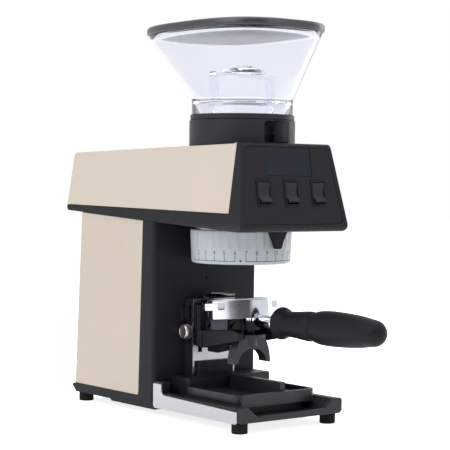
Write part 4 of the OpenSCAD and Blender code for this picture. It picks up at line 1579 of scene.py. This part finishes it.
@dataclass
class Studio:
    """Floor, lights and camera."""

    camera_from_axis: tuple[float, float, float] = (-0.89323, -1.10989, 0.22528)
    heading: float = math.radians(38.2)
    pitch: float = math.radians(-1.54)
    roll: float = math.radians(0.57)
    lens: float = 118.4
    sensor: float = 36.0
    clip: tuple[float, float] = (0.05, 40.0)
    aim: tuple[float, float, float] = (0.0, AXIS_Y + 0.03, 0.2)
    lamps: tuple[Softbox, ...] = (
        Softbox("key_box", (-1.7, -0.2, 1.2), (1.6, 1.4), 20),
        Softbox("front_box", (0.7, -1.9, 1.1), (1.0, 1.0), 6),
        Softbox("top_box", (0.0, 0.1, 1.9), (2.2, 2.2), 26),
        Softbox("right_box", (1.8, 0.1, 0.7), (0.7, 1.4), 7),
    )
    sky: float = 0.3
    sky_colour: tuple[float, float, float, float] = (0.95, 0.97, 1.0, 1.0)
    mirror_colour: tuple[float, float, float, float] = (0.93, 0.96, 1.0, 1.0)
    mirror_bright: float = 0.95
    mirror_dark: float = 0.08
    dark_from: float = 0.62
    dark_full: float = 0.86
    floor_radii: tuple[float, ...] = (0.5, 2.0, 9.0)
    floor_steps: int = 64

    def floor(self) -> None:
        """A wide pale floor."""

        def build(bm: bmesh.types.BMesh) -> None:
            """Skins the floor and closes its middle.

            Args:
                bm: The bmesh to add to.
            """
            levels = [(r, 0.0) for r in self.floor_radii]
            made = skin_rings(bm, turned_rings(levels, self.floor_steps, Matrix.Identity(4)))
            bm.faces.new(made[0])

        new_piece("floor", from_bmesh("floor", build), PAPER)

    def light(self, lamp: Softbox) -> None:
        """Hangs a lamp, turned to the object.

        Args:
            lamp: The lamp.
        """
        data = bpy.data.lights.new(lamp.name, "AREA")
        data.shape = "RECTANGLE"
        data.size, data.size_y = lamp.size
        data.energy = lamp.power
        holder = bpy.data.objects.new(lamp.name, data)
        holder.location = lamp.place
        holder.rotation_euler = (Vector(self.aim) - Vector(lamp.place)).to_track_quat("-Z", "Y").to_euler()
        bpy.context.scene.collection.objects.link(holder)

    def surround(self) -> None:
        """A white backdrop, with a dark zone in front for what mirrors see and weak light for the rest."""
        world = bpy.data.worlds.new("white_surround")
        world.use_nodes = True
        tree = world.node_tree
        link = tree.links.new
        backdrop = tree.nodes["Background"]
        backdrop.inputs["Color"].default_value = (1.0, 1.0, 1.0, 1.0)
        backdrop.inputs["Strength"].default_value = 1.0
        fill = tree.nodes.new("ShaderNodeBackground")
        fill.inputs["Color"].default_value = self.sky_colour
        fill.inputs["Strength"].default_value = self.sky
        mirror = tree.nodes.new("ShaderNodeBackground")
        mirror.inputs["Color"].default_value = self.mirror_colour
        link(self.dark_zone(tree), mirror.inputs["Strength"])
        path = tree.nodes.new("ShaderNodeLightPath")
        either = tree.nodes.new("ShaderNodeMath")
        either.operation = "MAXIMUM"
        link(path.outputs["Is Camera Ray"], either.inputs[0])
        link(path.outputs["Is Transmission Ray"], either.inputs[1])

        def mix(factor: Socket, off: Socket, on: Socket) -> Socket:
            """Mixes two shaders by a factor.

            Args:
                factor: Factor socket.
                off: Shader where the factor is 0.
                on: Shader where the factor is 1.

            Returns:
                The mixed shader.
            """
            node = tree.nodes.new("ShaderNodeMixShader")
            for socket, target in zip((factor, off, on), node.inputs):
                link(socket, target)
            return node.outputs[0]

        shine = mix(path.outputs["Is Glossy Ray"], fill.outputs[0], mirror.outputs[0])
        seen = mix(either.outputs[0], shine, backdrop.outputs[0])
        link(seen, tree.nodes["World Output"].inputs["Surface"])
        bpy.context.scene.world = world

    def dark_zone(self, tree: bpy.types.NodeTree) -> Socket:
        """Brightness of the surround as mirrors see it.

        Args:
            tree: The world's node tree.

        Returns:
            A socket that is low towards the front left and high elsewhere.
        """
        where = tree.nodes.new("ShaderNodeTexCoord")
        toward = tree.nodes.new("ShaderNodeVectorMath")
        toward.operation = "DOT_PRODUCT"
        toward.inputs[1].default_value = (-math.sin(self.heading), -math.cos(self.heading), 0.0)
        tree.links.new(where.outputs["Generated"], toward.inputs[0])
        ramp = tree.nodes.new("ShaderNodeMapRange")
        ramp.interpolation_type = "SMOOTHSTEP"
        ramp.inputs["From Min"].default_value = self.dark_from
        ramp.inputs["From Max"].default_value = self.dark_full
        ramp.inputs["To Min"].default_value = self.mirror_bright
        ramp.inputs["To Max"].default_value = self.mirror_dark
        tree.links.new(toward.outputs["Value"], ramp.inputs["Value"])
        return ramp.outputs["Result"]

    def camera(self) -> None:
        """A long lens at the front left, a little above the dial."""
        ahead = Vector((math.sin(self.heading), math.cos(self.heading), 0))
        right = Vector((math.cos(self.heading), -math.sin(self.heading), 0))
        above = Vector((0, 0, 1))
        forward = ahead * math.cos(self.pitch) + above * math.sin(self.pitch)
        up = above * math.cos(self.pitch) - ahead * math.sin(self.pitch)
        side = right * math.cos(self.roll) + up * math.sin(self.roll)
        top = up * math.cos(self.roll) - right * math.sin(self.roll)
        turned_to = Matrix((side, top, -forward)).transposed().to_4x4()
        x, y, z = self.camera_from_axis
        data = bpy.data.cameras.new("camera")
        data.lens = self.lens
        data.sensor_width = self.sensor
        data.clip_start, data.clip_end = self.clip
        camera = bpy.data.objects.new("camera", data)
        camera.matrix_world = Matrix.Translation((x, y + AXIS_Y, z)) @ turned_to
        bpy.context.scene.collection.objects.link(camera)
        bpy.context.scene.camera = camera

    def make(self) -> None:
        """Sets up floor, lights, surround, camera and a neutral tone curve."""
        self.floor()
        for lamp in self.lamps:
            self.light(lamp)
        self.surround()
        self.camera()
        bpy.context.scene.view_settings.view_transform = "Standard"


def sub_assemblies() -> Iterable[SubAssembly]:
    """The grinder's sub-assemblies, from the floor up.

    Returns:
        The sub-assemblies in building order.
    """
    return (
        Base(),
        DripTray(),
        Holder(),
        Fork(),
        Portafilter(),
        Column(),
        Head(),
        ControlPanel(),
        GrindDial(),
        GrindingWorks(),
        Drive(),
        BeanCollar(),
        Hopper(),
    )


def main() -> None:
    """Builds the studio and every sub-assembly."""
    logging.basicConfig(level=logging.INFO, format="%(message)s")
    Studio().make()
    for group in sub_assemblies():
        group.make()


if __name__ == "__main__":
    main()
